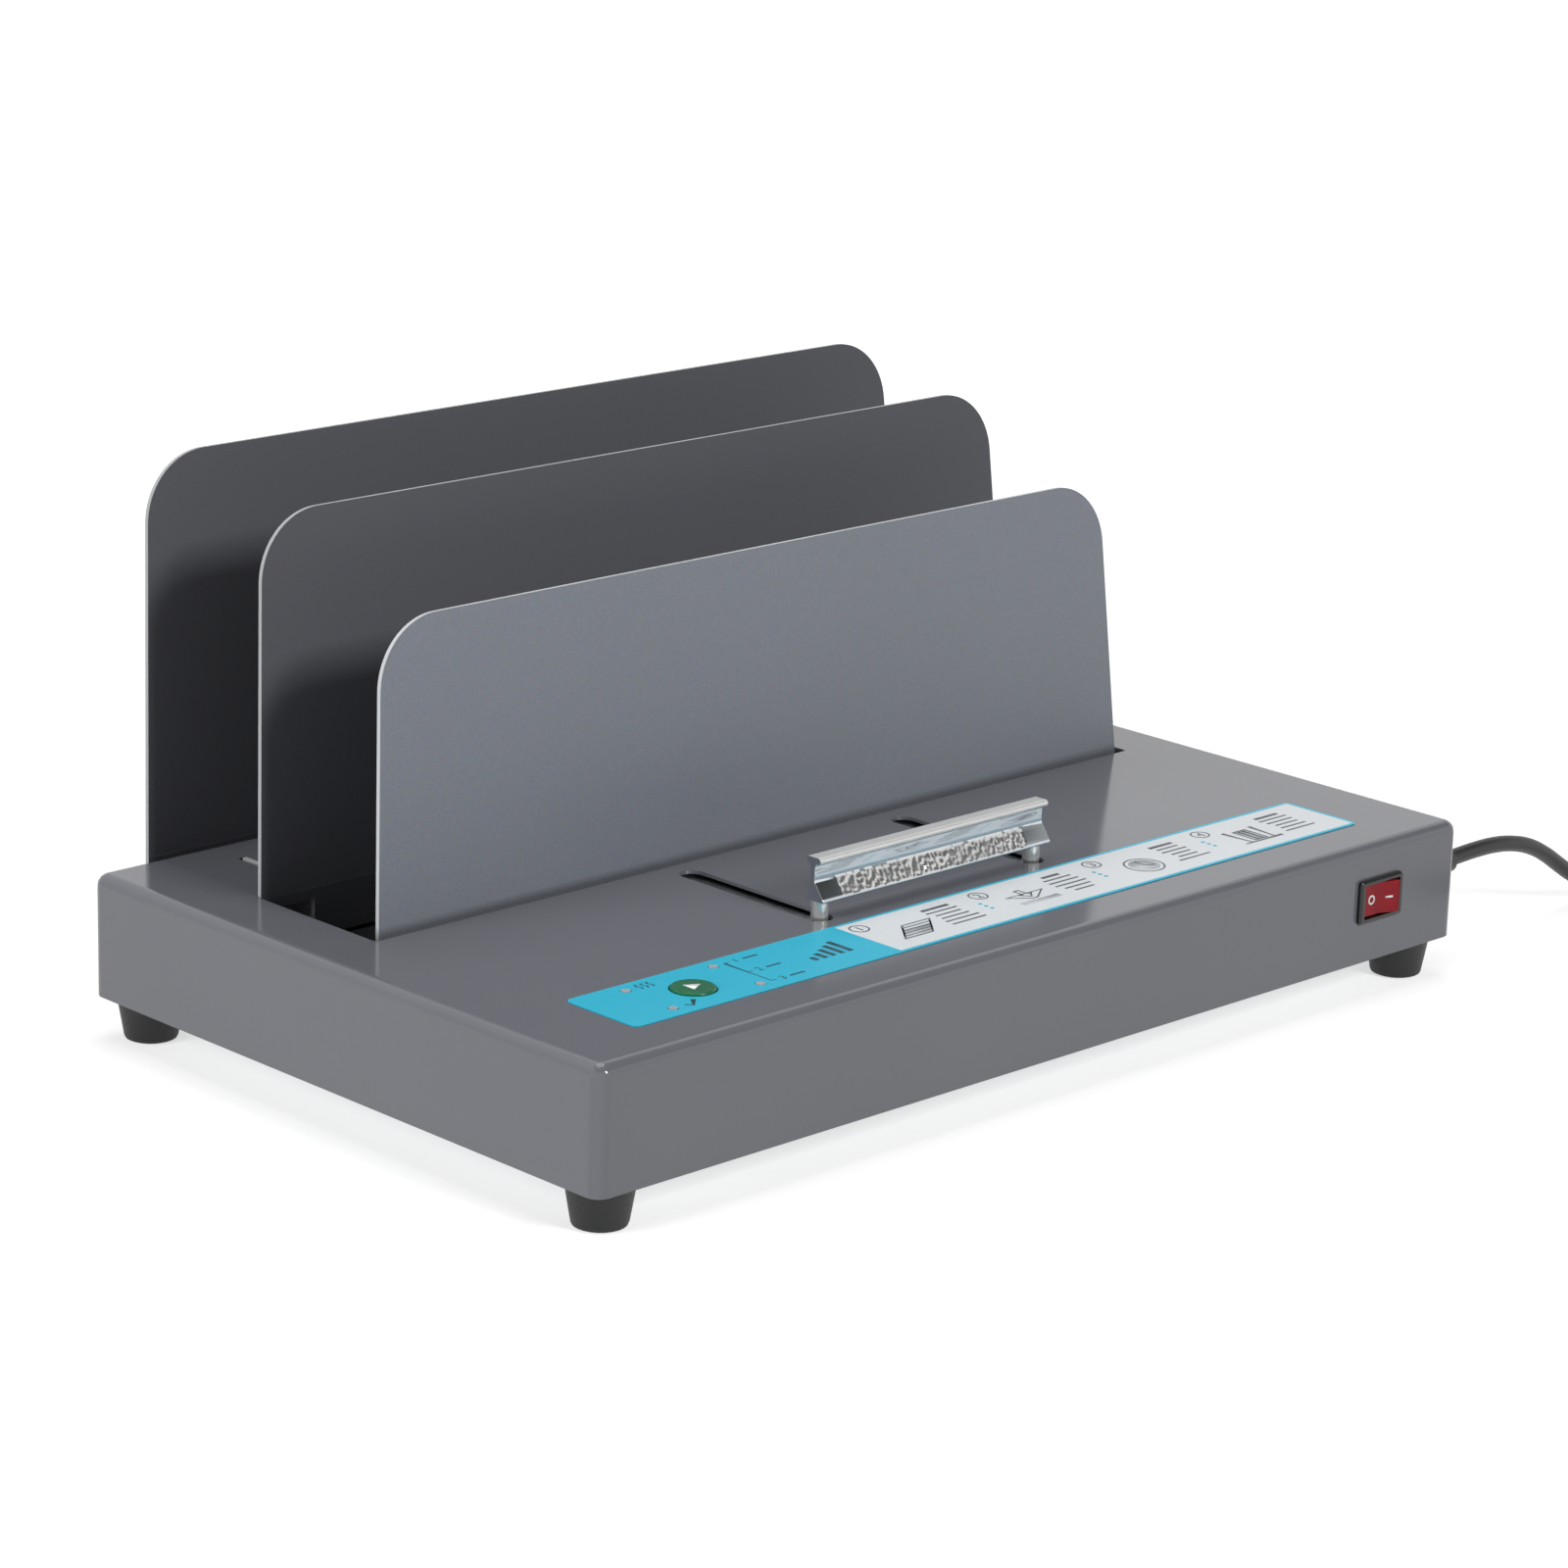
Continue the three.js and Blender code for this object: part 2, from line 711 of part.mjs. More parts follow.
// The outline of a plate's leaning face, wide at its foot, with round top corners.
function faceShape(width, height) {
  const { taperAngle, cornerRadius } = plate;
  const half = width / 2;
  const arcY = height - cornerRadius;
  const arcX = half - arcY * Math.tan(taperAngle) - cornerRadius / Math.cos(taperAngle);
  const foldX = half + gap.weld * Math.tan(taperAngle);
  const shape = new THREE.Shape();
  shape.moveTo(-foldX, -gap.weld);
  shape.lineTo(foldX, -gap.weld);
  shape.absarc(arcX, arcY, cornerRadius, taperAngle, Math.PI / 2);
  shape.absarc(-arcX, arcY, cornerRadius, Math.PI / 2, Math.PI - taperAngle);
  return shape;
}

// The leaning part of a plate: its front face crosses the cover's top level at faceY.
function leaningFace(width, height, faceY, foldZ) {
  const rise = (topZ + height - foldZ) / Math.cos(plate.leanAngle);
  const shape = faceShape(width, rise);
  const settings = { depth: plate.sheet, bevelEnabled: false, curveSegments: 10 };
  const face = new THREE.ExtrudeGeometry(shape, settings);
  face.translate(0, 0, -plate.sheet);
  face.rotateX(Math.PI / 2);
  face.rotateX(-plate.leanAngle);
  return face.translate(0, faceY, foldZ);
}

const frontSkirtZs = [topZ - frontPlate.skirtDrop, undersideZ];
const frontRivetShares = [-0.42, -0.16, 0.16, 0.42];
const frontRivets = frontRivetShares.map((share) => [
  share * frontWidth,
  frontFaceY,
  frontSkirtZs[0] + rivet.headRadius + gap.slide,
]);

function frontPlateGeometry() {
  const faceY = frontFaceY;
  const skirtXs = span(0, frontWidth - 2 * frontPlate.skirtInset);
  const skirt = block(skirtXs, [faceY, clampRearY], [frontSkirtZs[0], undersideZ + gap.weld]);
  const face = leaningFace(frontWidth, frontPlate.height, faceY, undersideZ);
  return join(face, skirt, ...rivets(carriage.sheet, 'front', frontRivets));
}

add('front_plate', 'satin', frontPlateGeometry());

const middleFlangeZs = [railTopZ + gap.seat, railTopZ + gap.seat + plate.sheet];
const middleRivetShares = [-0.42, 0, 0.42];
const middleRivets = middleRivetShares.map((share) => [
  share * railLength,
  middle(railYs),
  middleFlangeZs[0],
]);

function middlePlateGeometry() {
  const faceY = middleFaceY;
  const rearY = faceY + plate.sheet;
  const face = leaningFace(middleWidth, middlePlate.height, faceY, undersideZ);
  const side = block(
    span(0, middleWidth - 2 * gap.weld),
    [faceY, rearY],
    [topZ - middlePlate.sideDrop, undersideZ + gap.weld],
  );
  const skirt = block(span(0, skirtWidth), [faceY, rearY], [middleFlangeZs[0], undersideZ]);
  const flangeXs = span(0, skirtWidth - 2 * plate.sheet - 2 * gap.slide);
  const flange = block(flangeXs, [rearY - gap.weld, rearY + middlePlate.flangeDepth], middleFlangeZs);
  const ears = [-1, 1].map((sign) => {
    const xs = span(sign * (earX - plate.sheet / 2), plate.sheet);
    return block(xs, [rearY - gap.weld, faceY + middlePlate.earLength], [middleFlangeZs[0], topZ]);
  });
  return join(face, side, skirt, flange, ...ears, ...rivets(rail.sheet, 'down', middleRivets));
}

add('middle_plate', 'satin', middlePlateGeometry());

const backFaceY = body.depth + gap.seat;

function backPlateGeometry() {
  const rearY = backFaceY + plate.sheet;
  const face = leaningFace(backWidth, backPlate.height, backFaceY, topZ);
  const skirtZs = [topZ - backPlate.skirtDrop, topZ + gap.weld];
  const skirt = block(span(0, backWidth), [backFaceY, rearY], skirtZs);
  const screwHoles = holes('y', screw.shankRadius + gap.hole, through([backFaceY, rearY]), backScrewPlaces);
  return cut(join(face, skirt), ...screwHoles);
}

add('back_plate', 'satin', backPlateGeometry());
const backScrewY = backFaceY + plate.sheet + gap.seat;
const backScrewLength = backScrewY - body.depth + body.sheet + nut.height;
const backScrewWords = ['left', 'mid_left', 'mid_right', 'right'];
const backHeadPlaces = backScrewPlaces.map(([x, , z]) => [x, backScrewY, z]);
screws('back_plate_screw', backScrewWords, backScrewLength, 'rear', backHeadPlaces);

// Slide carriage with its bushes, rods and brackets

const webZs = [undersideZ - carriage.topGap - carriage.sheet, undersideZ - carriage.topGap];
const rodZ = topZ - rod.drop;
const flangeYs = [frontFaceY - gap.seat - carriage.sheet, frontFaceY - gap.seat];
const tongueYs = [postY - tongue.nose, flangeYs[1]];
const postPlaces = bothSides(postX).map((x) => [x, postY, 0]);

function slideCarriage() {
  const blockXs = (side) => span(side * rodX, carriage.blockWidth);
  const webXs = span(0, 2 * rodX);
  const web = block(webXs, blockYs, webZs);
  const tongueWeb = upright(roundedShape(span(0, tongueWidth), tongueYs, tongue.nose), webZs);
  const flangeXs = span(0, 2 * rodX);
  const flange = block(flangeXs, flangeYs, [frontSkirtZs[0], webZs[1]]);
  const blockZs = [webZs[1] - carriage.blockHeight, webZs[1]];
  const blocks = [-1, 1].map((side) => block(blockXs(side), blockYs, blockZs));
  const bores = bothSides(rodX).map((x) =>
    bar('y', bush.outerRadius + gap.hole, through(blockYs), [x, 0, rodZ]),
  );
  return cut(
    join(web, tongueWeb, flange, ...blocks),
    ...bores,
    ...rivetHoles('y', flangeYs, frontRivets),
    ...rivetHoles('z', webZs, postPlaces),
  );
}

add('slide_carriage', 'zinc', slideCarriage());

function bushGeometry(side) {
  const outer = bar('y', bush.outerRadius, blockYs, [side * rodX, 0, rodZ]);
  return cut(outer, bar('y', rod.radius + gap.hole, through(blockYs), [side * rodX, 0, rodZ]));
}

function rodGeometry(side) {
  const ys = [frontPost[0] - rod.tail, rearPost[1] + rod.tail];
  return bar('y', rod.radius, ys, [side * rodX, 0, rodZ]);
}

function rodBracket(side) {
  const x = side * bracketX;
  const xs = span(x, bracket.width);
  const postZs = [standZ, rodZ + bracket.width / 2];
  const base = block(xs, bracketYs, [standZ, standZ + bracket.sheet]);
  return cut(
    join(base, block(xs, frontPost, postZs), block(xs, rearPost, postZs)),
    bar('y', rod.radius + gap.hole, through([bracketYs[0], bracketYs[1]]), [x, 0, rodZ]),
    ...rivetHoles('z', [standZ, standZ + bracket.sheet], bracketRivets.filter(([at]) => at === x)),
  );
}

for (const [side, word] of [
  [-1, 'left'],
  [1, 'right'],
]) {
  add(`carriage_bush_${word}`, 'brass', bushGeometry(side));
  add(`guide_rod_${word}`, 'steel', rodGeometry(side));
  add(`rod_bracket_${word}`, 'zinc', rodBracket(side));
}

// Rail that carries the middle plate

function rearRail() {
  const xs = span(0, railLength);
  const { sheet, toe } = rail;
  const top = block(xs, railYs, [railTopZ - sheet, railTopZ]);
  const front = block(xs, [railYs[0], railYs[0] + sheet], [standZ, railTopZ]);
  const rear = block(xs, [railYs[1] - sheet, railYs[1]], [standZ, railTopZ]);
  const rearToe = block(xs, [railYs[1] - sheet, railYs[1] + toe], [standZ, standZ + sheet]);
  return cut(
    join(top, front, rear, rearToe),
    ...rivetHoles('z', [standZ, standZ + sheet], railRivets),
    ...rivetHoles('z', [railTopZ - sheet, railTopZ], middleRivets),
  );
}

add('rear_rail', 'zinc', rearRail());

// Heater: an aluminium plate on a tray, with its element, its insulation and its two safety devices

const boardX = heaterLength / 2 - heater.traySheet - gap.slide;
const trayFloorZ = standZ + heater.traySheet;
const elementZs = [heaterBottomZ - gap.seat - heater.elementThickness, heaterBottomZ - gap.seat];
const insulationZs = [trayFloorZ + gap.seat, elementZs[0] - gap.seat];
const windowXs = [-boardX + sensorWindow.inset, -boardX + sensorWindow.inset + sensorWindow.length];
const windowCentre = middle(windowXs);

const holeX = windowXs[1] - lead.holeInset;

function leadHole(ys) {
  return bar('y', lead.hole, through(ys), [holeX, 0, standZ + lead.holeRise], roundSides / 2);
}

function heaterTray() {
  const xs = span(0, heaterLength);
  const t = heater.traySheet;
  const wallZs = [standZ, trayTopZ];
  const flangeZs = [trayTopZ - t, trayTopZ];
  const flangeHoleZs = [flangeZs[0] - gap.overrun / 2, trayTopZ + gap.overrun];
  const toeXs = span(0, heaterLength + 2 * heater.toe);
  const pieces = [
    block(xs, trayYs, [standZ, trayFloorZ]),
    block(xs, [trayYs[0], trayYs[0] + t], wallZs),
    block(xs, [trayYs[1] - t, trayYs[1]], wallZs),
    block(xs, [trayYs[0], trayYs[0] + heater.flange], flangeZs),
    block(xs, [trayYs[1] - heater.flange, trayYs[1]], flangeZs),
    block(toeXs, span(middle(trayYs), 2 * heater.toe), [standZ, trayFloorZ]),
  ];
  return cut(
    join(...pieces),
    leadHole([trayYs[0], trayYs[0] + t]),
    ...rivetHoles('z', [standZ, trayFloorZ], trayRivets),
    ...holes('z', rivet.shankRadius + gap.hole, flangeHoleZs, heaterRivets),
  );
}

function heatingPlate() {
  const plain = block(span(0, heaterLength), trayYs, [heaterBottomZ, heaterTopZ]);
  return join(plain, ...rivets(heater.traySheet, 'down', heaterRivets));
}

function insulationBoard() {
  const wallGap = heater.traySheet + gap.slide;
  const ys = [trayYs[0] + wallGap, trayYs[1] - wallGap];
  const sheet = block(span(0, 2 * boardX), ys, insulationZs);
  const sensorYs = [ys[0] + sensorWindow.edge, ys[1] - sensorWindow.edge];
  return cut(sheet, block(windowXs, sensorYs, through(insulationZs)), leadHole([ys[0], sensorYs[0]]));
}

function heatingElement() {
  const xs = [windowXs[1] + gap.slide, boardX - heater.flange];
  const ys = [trayMouthYs[0] + heater.elementGap, trayMouthYs[1] - heater.elementGap];
  return block(xs, ys, elementZs);
}

add('heater_tray', 'zinc', heaterTray());
add('insulation_board', 'fibre', insulationBoard());
add('heating_element', 'mica', heatingElement());
add('heating_plate', 'aluminium', heatingPlate());

function thermostatGeometry() {
  const capTop = heaterBottomZ - gap.seat;
  const bodyTop = capTop - thermostat.capHeight;
  const bodyBottom = bodyTop - thermostat.height;
  const { radius, capRadius, tabWidth, tabHeight, tabThickness } = thermostat;
  const at = [windowCentre, trayMouthYs[0] + sensorWindow.sideGap + capRadius, 0];
  const cap = bar('z', capRadius, [bodyTop - gap.weld, capTop], at);
  const can = bar('z', radius, [bodyBottom, bodyTop], at);
  const tabZs = [bodyBottom - tabHeight, bodyBottom + gap.weld];
  const tabs = bothSides(radius / 2).map((dx) =>
    block(span(at[0] + dx, tabThickness), span(at[1], tabWidth), tabZs),
  );
  return join(cap, can, ...tabs);
}

function thermalFuse() {
  const z = heaterBottomZ - gap.seat - fuse.radius;
  const y = trayMouthYs[1] - sensorWindow.sideGap - fuse.radius;
  const wireLength = fuse.length + 2 * fuse.leadLength;
  const can = bar('x', fuse.radius, span(windowCentre, fuse.length), [0, y, z], roundSides / 2);
  const wire = bar('x', fuse.leadRadius, span(windowCentre, wireLength), [0, y, z], roundSides / 2);
  return join(can, wire);
}

add('thermostat', 'blackPlastic', thermostatGeometry());
add('thermal_fuse', 'steel', thermalFuse());

// Handle: a drawn bar on two posts that pass through the slots to the carriage

function handleGeometry() {
  const h = handle;
  const footZ = topZ + h.postRise;
  const lipZ = footZ + h.rise;
  const lipUnder = lipZ - h.lipThickness;
  const footTop = footZ + h.footThickness;
  const waist = h.waistThickness / 2;
  const waistZ = (lipUnder + footTop) / 2;
  const shape = new THREE.Shape();
  // Drawn in (y, z): front is negative.
  shape.moveTo(-h.footFront, footZ);
  shape.lineTo(h.footBack, footZ);
  shape.lineTo(h.footBack, footTop);
  shape.quadraticCurveTo(waist, footTop, waist, waistZ);
  shape.quadraticCurveTo(waist, lipUnder, h.lipBack, lipUnder);
  shape.lineTo(h.lipBack, lipZ);
  shape.lineTo(-h.lipFront, lipZ);
  shape.lineTo(-h.lipFront, lipUnder);
  shape.quadraticCurveTo(-waist, lipUnder, -waist, waistZ);
  shape.quadraticCurveTo(-waist, footTop, -h.footFront, footTop);
  const settings = { depth: h.length, bevelEnabled: false, curveSegments: 8 };
  const profile = new THREE.ExtrudeGeometry(shape, settings);
  // Shape x becomes y, shape y becomes z, and the depth runs along x.
  const turn = new THREE.Matrix4().makeBasis(
    new THREE.Vector3(0, 1, 0),
    new THREE.Vector3(0, 0, 1),
    new THREE.Vector3(1, 0, 0),
  );
  profile.applyMatrix4(turn).translate(-h.length / 2, postY, 0);
  const boreZs = [footZ - gap.overrun, footTop + gap.overrun / 2];
  const bores = holes('z', rivet.shankRadius + gap.hole, boreZs, postPlaces);
  return cut(profile, ...bores);
}

add('handle', 'chrome', handleGeometry());

// A post is one turned stud: a nut holds its lower end under the carriage's tongue.
const nutZs = [webZs[0] - gap.seat - nut.height, webZs[0] - gap.seat];

function handlePost() {
  const shoulder = [webZs[1] + gap.seat, topZ + handle.postRise - gap.seat];
  const thread = rivet.shankRadius;
  return turned([
    [0, nutZs[0] - nut.threadRise],
    [thread, nutZs[0] - nut.threadRise],
    [thread, shoulder[0]],
    [handle.postRadius, shoulder[0]],
    [handle.postRadius, shoulder[1]],
    [thread, shoulder[1]],
    [thread, topZ + handle.postRise + handle.footThickness],
    [0, topZ + handle.postRise + handle.footThickness],
  ]);
}

function handleNut(at) {
  const outer = bar('z', nut.acrossFlats / Math.sqrt(3), nutZs, at, 6);
  return cut(outer, ...rivetHoles('z', nutZs, [at]));
}

['left', 'right'].forEach((word, i) => {
  add(`handle_post_${word}`, 'chrome', place(handlePost(), postPlaces[i]));
  add(`handle_nut_${word}`, 'zinc', handleNut(postPlaces[i]));
});

// Control board, hung from the cover on spacers

const boardZs = [undersideZ - board.drop - board.thickness, undersideZ - board.drop];
const boardXs = span(boardAt[0], board.length);
const boardYs = span(boardAt[1], board.depth);
const hangZ = boardZs[0] - gap.seat; // top of the parts under the board

function controlBoard() {
  const shape = roundedShape(boardXs, boardYs, spacer.edge / 2);
  return cut(upright(shape, boardZs, 2), ...rivetHoles('z', boardZs, spacerPlaces));
}

add('control_board', 'board', controlBoard());

// A part under the board, set in from one of its corners or edges.
function hungZs(height) {
  return [hangZ - height, hangZ];
}
const clearOfSpacer = spacer.edge + spacer.radius + board.partInset;

function transformerGeometry() {
  const { length, depth, height, coreShare, bobbinShares, baseDepthShare, baseHeightShare } = transformer;
  const xs = [boardXs[0] + clearOfSpacer, boardXs[0] + clearOfSpacer + length];
  const centreY = boardYs[1] - depth / 2 - board.partInset;
  const bobbinZs = [hangZ - height * bobbinShares[1], hangZ - height * bobbinShares[0]];
  const core = block(xs, span(centreY, depth * coreShare), hungZs(height));
  const bobbin = block(span(middle(xs), length * coreShare), span(centreY, depth), bobbinZs);
  const baseZs = hungZs(height * baseHeightShare + gap.weld);
  return join(core, bobbin, block(xs, span(centreY, depth * baseDepthShare), baseZs));
}

function relayGeometry() {
  const x = boardXs[1] - clearOfSpacer - relay.length;
  const ys = [boardYs[1] - board.partInset - relay.depth, boardYs[1] - board.partInset];
  return block([x, x + relay.length], ys, hungZs(relay.height));
}

function buzzerGeometry() {
  const x = boardXs[1] - clearOfSpacer - buzzer.radius;
  const at = [x, boardYs[0] + clearOfSpacer + buzzer.radius / 2, 0];
  const zs = hungZs(buzzer.height);
  const soundHole = bar('z', buzzer.holeRadius, [zs[0] - gap.overrun, zs[0] + buzzer.holeDepth], at);
  return cut(bar('z', buzzer.radius, zs, at), soundHole);
}

const connectorXs = span(boardAt[0], connector.length);

function connectorGeometry() {
  const ys = [boardYs[0] + gap.slide, boardYs[0] + gap.slide + connector.depth];
  const zs = hungZs(connector.height);
  const shell = block(connectorXs, ys, zs);
  const wayPitch = connector.length / connector.ways;
  const ways = [];
  for (let i = 0; i < connector.ways; i += 1) {
    const x = connectorXs[0] + wayPitch * (i + 0.5);
    ways.push([x, 0, zs[0] + connector.height / 3]);
  }
  const wayYs = [ys[1] - connector.depth / 2, ys[1] + gap.overrun];
  return cut(shell, ...holes('y', connector.wayRadius, wayYs, ways));
}

add('transformer', 'bluePlastic', transformerGeometry());
add('relay', 'bluePlastic', relayGeometry());
add('buzzer', 'blackPlastic', buzzerGeometry());
add('connector', 'whitePlastic', connectorGeometry());

// Start button over its key switch, and the indicator lights

const keyZs = [boardZs[1] + gap.seat, boardZs[1] + gap.seat + keySwitch.height];
const plungerTop = keyZs[1] + keySwitch.plungerRise;

function keySwitchGeometry() {
  const shell = block(span(buttonAt[0], keySwitch.size), span(buttonAt[1], keySwitch.size), keyZs);
  const wellZs = [middle(keyZs), keyZs[1] + gap.overrun];
  return cut(shell, bar('z', keySwitch.plungerRadius + gap.hole, wellZs, buttonAt));
}

function keyPlunger() {
  const zs = [middle(keyZs) + gap.slide + button.press, plungerTop];
  return bar('z', keySwitch.plungerRadius, zs, buttonAt);
}

function startButton() {
  const flangeTop = undersideZ - gap.seat;
  const flangeBottom = flangeTop - button.flangeHeight;
  const top = topZ + gap.film + label.film + button.proud;
  const crown = button.proud / 2;
  const solid = turned(
    [
      [0, plungerTop + gap.seat],
      [button.stemRadius, plungerTop + gap.seat],
      [button.stemRadius, flangeBottom],
      [button.flangeRadius, flangeBottom],
      [button.flangeRadius, flangeTop],
      [button.radius, flangeTop],
      [button.radius, top - crown],
      [button.radius - crown, top - crown * button.edgeShare],
      [button.radius * button.crownShare, top],
      [0, top],
    ],
    fineSides,
  );
  return place(solid, buttonAt);
}

function indicatorLight(at) {
  const zs = [boardZs[1] + gap.seat, topZ + gap.film + label.film + led.proud];
  return bar('z', led.radius, zs, at, roundSides);
}

add('key_switch', 'blackPlastic', keySwitchGeometry());
add('key_plunger', 'whitePlastic', keyPlunger());
add('start_button', 'green', startButton());
const ledNames = ['front_left', 'rear_left', 'front_right', 'rear_right'];
ledNames.forEach((word, i) => add(`indicator_${word}`, 'lens', indicatorLight(ledPlaces[i])));

function labelGeometry() {
  const zs = [topZ + gap.film, topZ + gap.film + label.film];
  const shape = roundedShape(labelXs, labelYs, label.cornerRadius);
  return cut(
    upright(shape, zs),
    bar('z', button.radius + gap.slide, through(zs), buttonAt, fineSides),
    ...holes('z', led.radius + gap.hole, through(zs), ledPlaces),
  );
}

add('label', 'film', labelGeometry());

// Rocker switch in the front face

const pivotY = rockerSwitch.axisDepth;
const rockerPocket = {
  xs: span(switchX, rockerSwitch.pocketLength),
  zs: span(rockerSwitch.z, rockerSwitch.rockerHeight + 2 * gap.slide),
};

const terminalShares = [-0.3, 0.3];
const terminalXs = terminalShares.map((share) => switchX + share * rockerSwitch.bodyWidth);

function switchHousing() {
  const s = rockerSwitch;
  const edge = s.bezelEdge;
  const rim = roundedOutline(s.bezelWidth / 2, s.bezelHeight / 2, 2 * edge, 3);
  const crown = roundedOutline(s.bezelWidth / 2 - edge, s.bezelHeight / 2 - edge, edge, 3);
  const levels = [
    { z: -s.bezelProud, outline: crown },
    { z: -s.bezelProud + edge, outline: rim },
    { z: -gap.seat, outline: rim },
  ];
  // Stacked along z, then laid so that the stack runs back into the body along y.
  const bezel = stack(levels).rotateX(-Math.PI / 2).translate(switchX, 0, s.z);
  const bodyZs = span(s.z, s.bodyHeight);
  const shell = block(span(switchX, s.bodyWidth), [-gap.seat - gap.weld, s.bodyDepth], bodyZs);
  const pocket = block(rockerPocket.xs, [-s.bezelProud - gap.overrun, s.pocketDepth], rockerPocket.zs);
  const tabYs = [s.bodyDepth - gap.weld, s.bodyDepth + s.terminalLength];
  const tabs = terminalXs.map((x) =>
    block(span(x, s.terminalThickness), tabYs, span(s.z, s.terminalWidth)),
  );
  const pinHole = bar('z', s.pinRadius + gap.hole, through(bodyZs), [switchX, pivotY, 0], roundSides / 2);
  return cut(join(bezel, shell, ...tabs), pocket, pinHole);
}

// The rocker's outline seen from above: a shallow vee of two faces over a rounded keel.
function rockerGeometry() {
  const s = rockerSwitch;
  const half = s.rockerLength / 2;
  const crown = s.bezelProud - s.crownDrop + pivotY; // from the pivot to the faces' middle
  const dip = half * Math.tan(s.tiltAngle);
  const endX = half * Math.cos(s.tiltAngle);
  const endRise = crown + dip / 2;
  const keelX = half * s.keelShare;
  const shape = new THREE.Shape();
  shape.moveTo(-endX, endRise);
  shape.lineTo(0, crown - dip / 2);
  shape.lineTo(endX, endRise);
  shape.quadraticCurveTo(half * s.flankShare, 0, keelX, -s.keelDepth);
  shape.lineTo(-keelX, -s.keelDepth);
  shape.quadraticCurveTo(-half * s.flankShare, 0, -endX, endRise);
  const settings = { depth: s.rockerHeight, bevelEnabled: false, curveSegments: 6 };
  const solid = new THREE.ExtrudeGeometry(shape, settings);
  // The outline's second axis points to the operator; the depth runs along z.
  solid.rotateZ(Math.PI).translate(0, 0, -s.rockerHeight / 2);
  const pins = bar('z', s.pinRadius, span(0, s.rockerHeight + 2 * s.pinLength), [0, 0, 0], roundSides / 2);
  return join(solid, pins);
}

const rocker = add('rocker', 'redClear', rockerGeometry());
rocker.position.set(switchX, pivotY, rockerSwitch.z);
rocker.rotation.z = -rockerSwitch.tiltAngle; // off: the left end is pressed in
add('switch_housing', 'blackPlastic', switchHousing());

// Inner leads, laid along the base pan

function leadAlong(points, radius = lead.radius) {
  const places = points.map((point) => new THREE.Vector3(...point));
  const curve = new THREE.CatmullRomCurve3(places, false, 'centripetal');
  const section = new THREE.Shape().absarc(0, 0, radius, 0, 2 * Math.PI);
  const settings = { extrudePath: curve, steps: points.length * 2, bevelEnabled: false, curveSegments: 4 };
  return new THREE.ExtrudeGeometry(section, settings);
}

// The points of a bend from one place to another: each row holds its share of the way in x, y and z.
function bend(from, to, shares) {
  return shares.map((row) => row.map((share, axis) => from[axis] + share * (to[axis] - from[axis])));
}

const leadZ = floorZ + gap.seat + lead.radius;
const terminalEndY = rockerSwitch.bodyDepth + rockerSwitch.terminalLength + gap.seat;
const reliefInnerX = rightX - body.sheet - gap.seat - relief.flangeLength;
const wayX = (index) => connectorXs[0] + (connector.length / connector.ways) * (index + 0.5);
const wayZ = hangZ - connector.height + connector.height / 3;
const wayEnd = (index) => [wayX(index), boardYs[0] + gap.slide + connector.depth / 2 + gap.seat, wayZ];

// From the cord's strain relief round to the switch's right terminal.
const mainsStart = [reliefInnerX - gap.seat, cord.exitY, cord.exitZ];
const mainsEnd = [terminalXs[1], terminalEndY, rockerSwitch.z];
const mainsBendShares = [
  [0.26, 0.05, 0.02],
  [0.58, 0.48, 0.35],
  [0.81, 1, 0.75],
  [0.97, 0.95, 0.98],
  [1, 0.46, 1],
];
const mainsFarEnd = [mainsEnd[0], mainsEnd[1] + lead.bow, mainsEnd[2]];
const mainsRoute = [mainsStart, ...bend(mainsStart, mainsFarEnd, mainsBendShares), mainsEnd];

// From the switch's left terminal down to the pan, along it and up to the control board.
const switchStart = [terminalXs[0], terminalEndY, rockerSwitch.z];
const runY = fromFront(lead.runShare);
const switchLanding = [terminalXs[0] - lead.dropReach, runY, leadZ];
const switchTakeOff = [wayX(3) + lead.riseReach, runY, leadZ];
const switchDropShares = [
  [0, 0.34, 0.01],
  [0.06, 0.78, 0.14],
  [0.26, 0.96, 0.52],
  [0.47, 1, 0.84],
  [0.69, 1, 0.98],
];
const runShares = [
  [0.3, 0.3, 0.3],
  [0.7, 0.7, 0.7],
];
const switchRiseShares = [
  [0.47, -0.07, 0.09],
  [0.79, -0.13, 0.41],
  [0.96, 0.03, 0.82],
  [1, 0.4, 1],
];
const switchRoute = [
  switchStart,
  ...bend(switchStart, switchLanding, switchDropShares),
  switchLanding,
  ...bend(switchLanding, switchTakeOff, runShares),
  switchTakeOff,
  ...bend(switchTakeOff, wayEnd(3), switchRiseShares),
  wayEnd(3),
];

// From the control board down to the pan, back to the tray and up to the heating element.
const trayHole = [holeX, trayYs[0], standZ + lead.holeRise];
const pastHole = [holeX, trayYs[0] + lead.bow, trayHole[2]];
const elementEndX = windowXs[1] + gap.slide - gap.seat;
const elementEnd = [elementEndX, middle(trayYs) + lead.radius * 4, middle(elementZs)];
const crossX = holeX - lead.crossOffset;
const heaterLanding = [crossX, fromFront(lead.crossShare), leadZ];
const heaterTakeOff = [middle([crossX, holeX]), fromFront(lead.climbShare), leadZ];
const heaterDropShares = [
  [0, 0.19, 0],
  [0, 0.35, 0.14],
  [0.3, 0.56, 0.61],
  [0.6, 0.77, 0.93],
];
const heaterClimbShares = [
  [0.8, 0.49, 0.06],
  [1, 0.78, 0.67],
];
const heaterRiseShares = [
  [-0.28, 0.45, 0.17],
  [-0.31, 0.77, 0.63],
  [0.03, 0.97, 0.94],
];
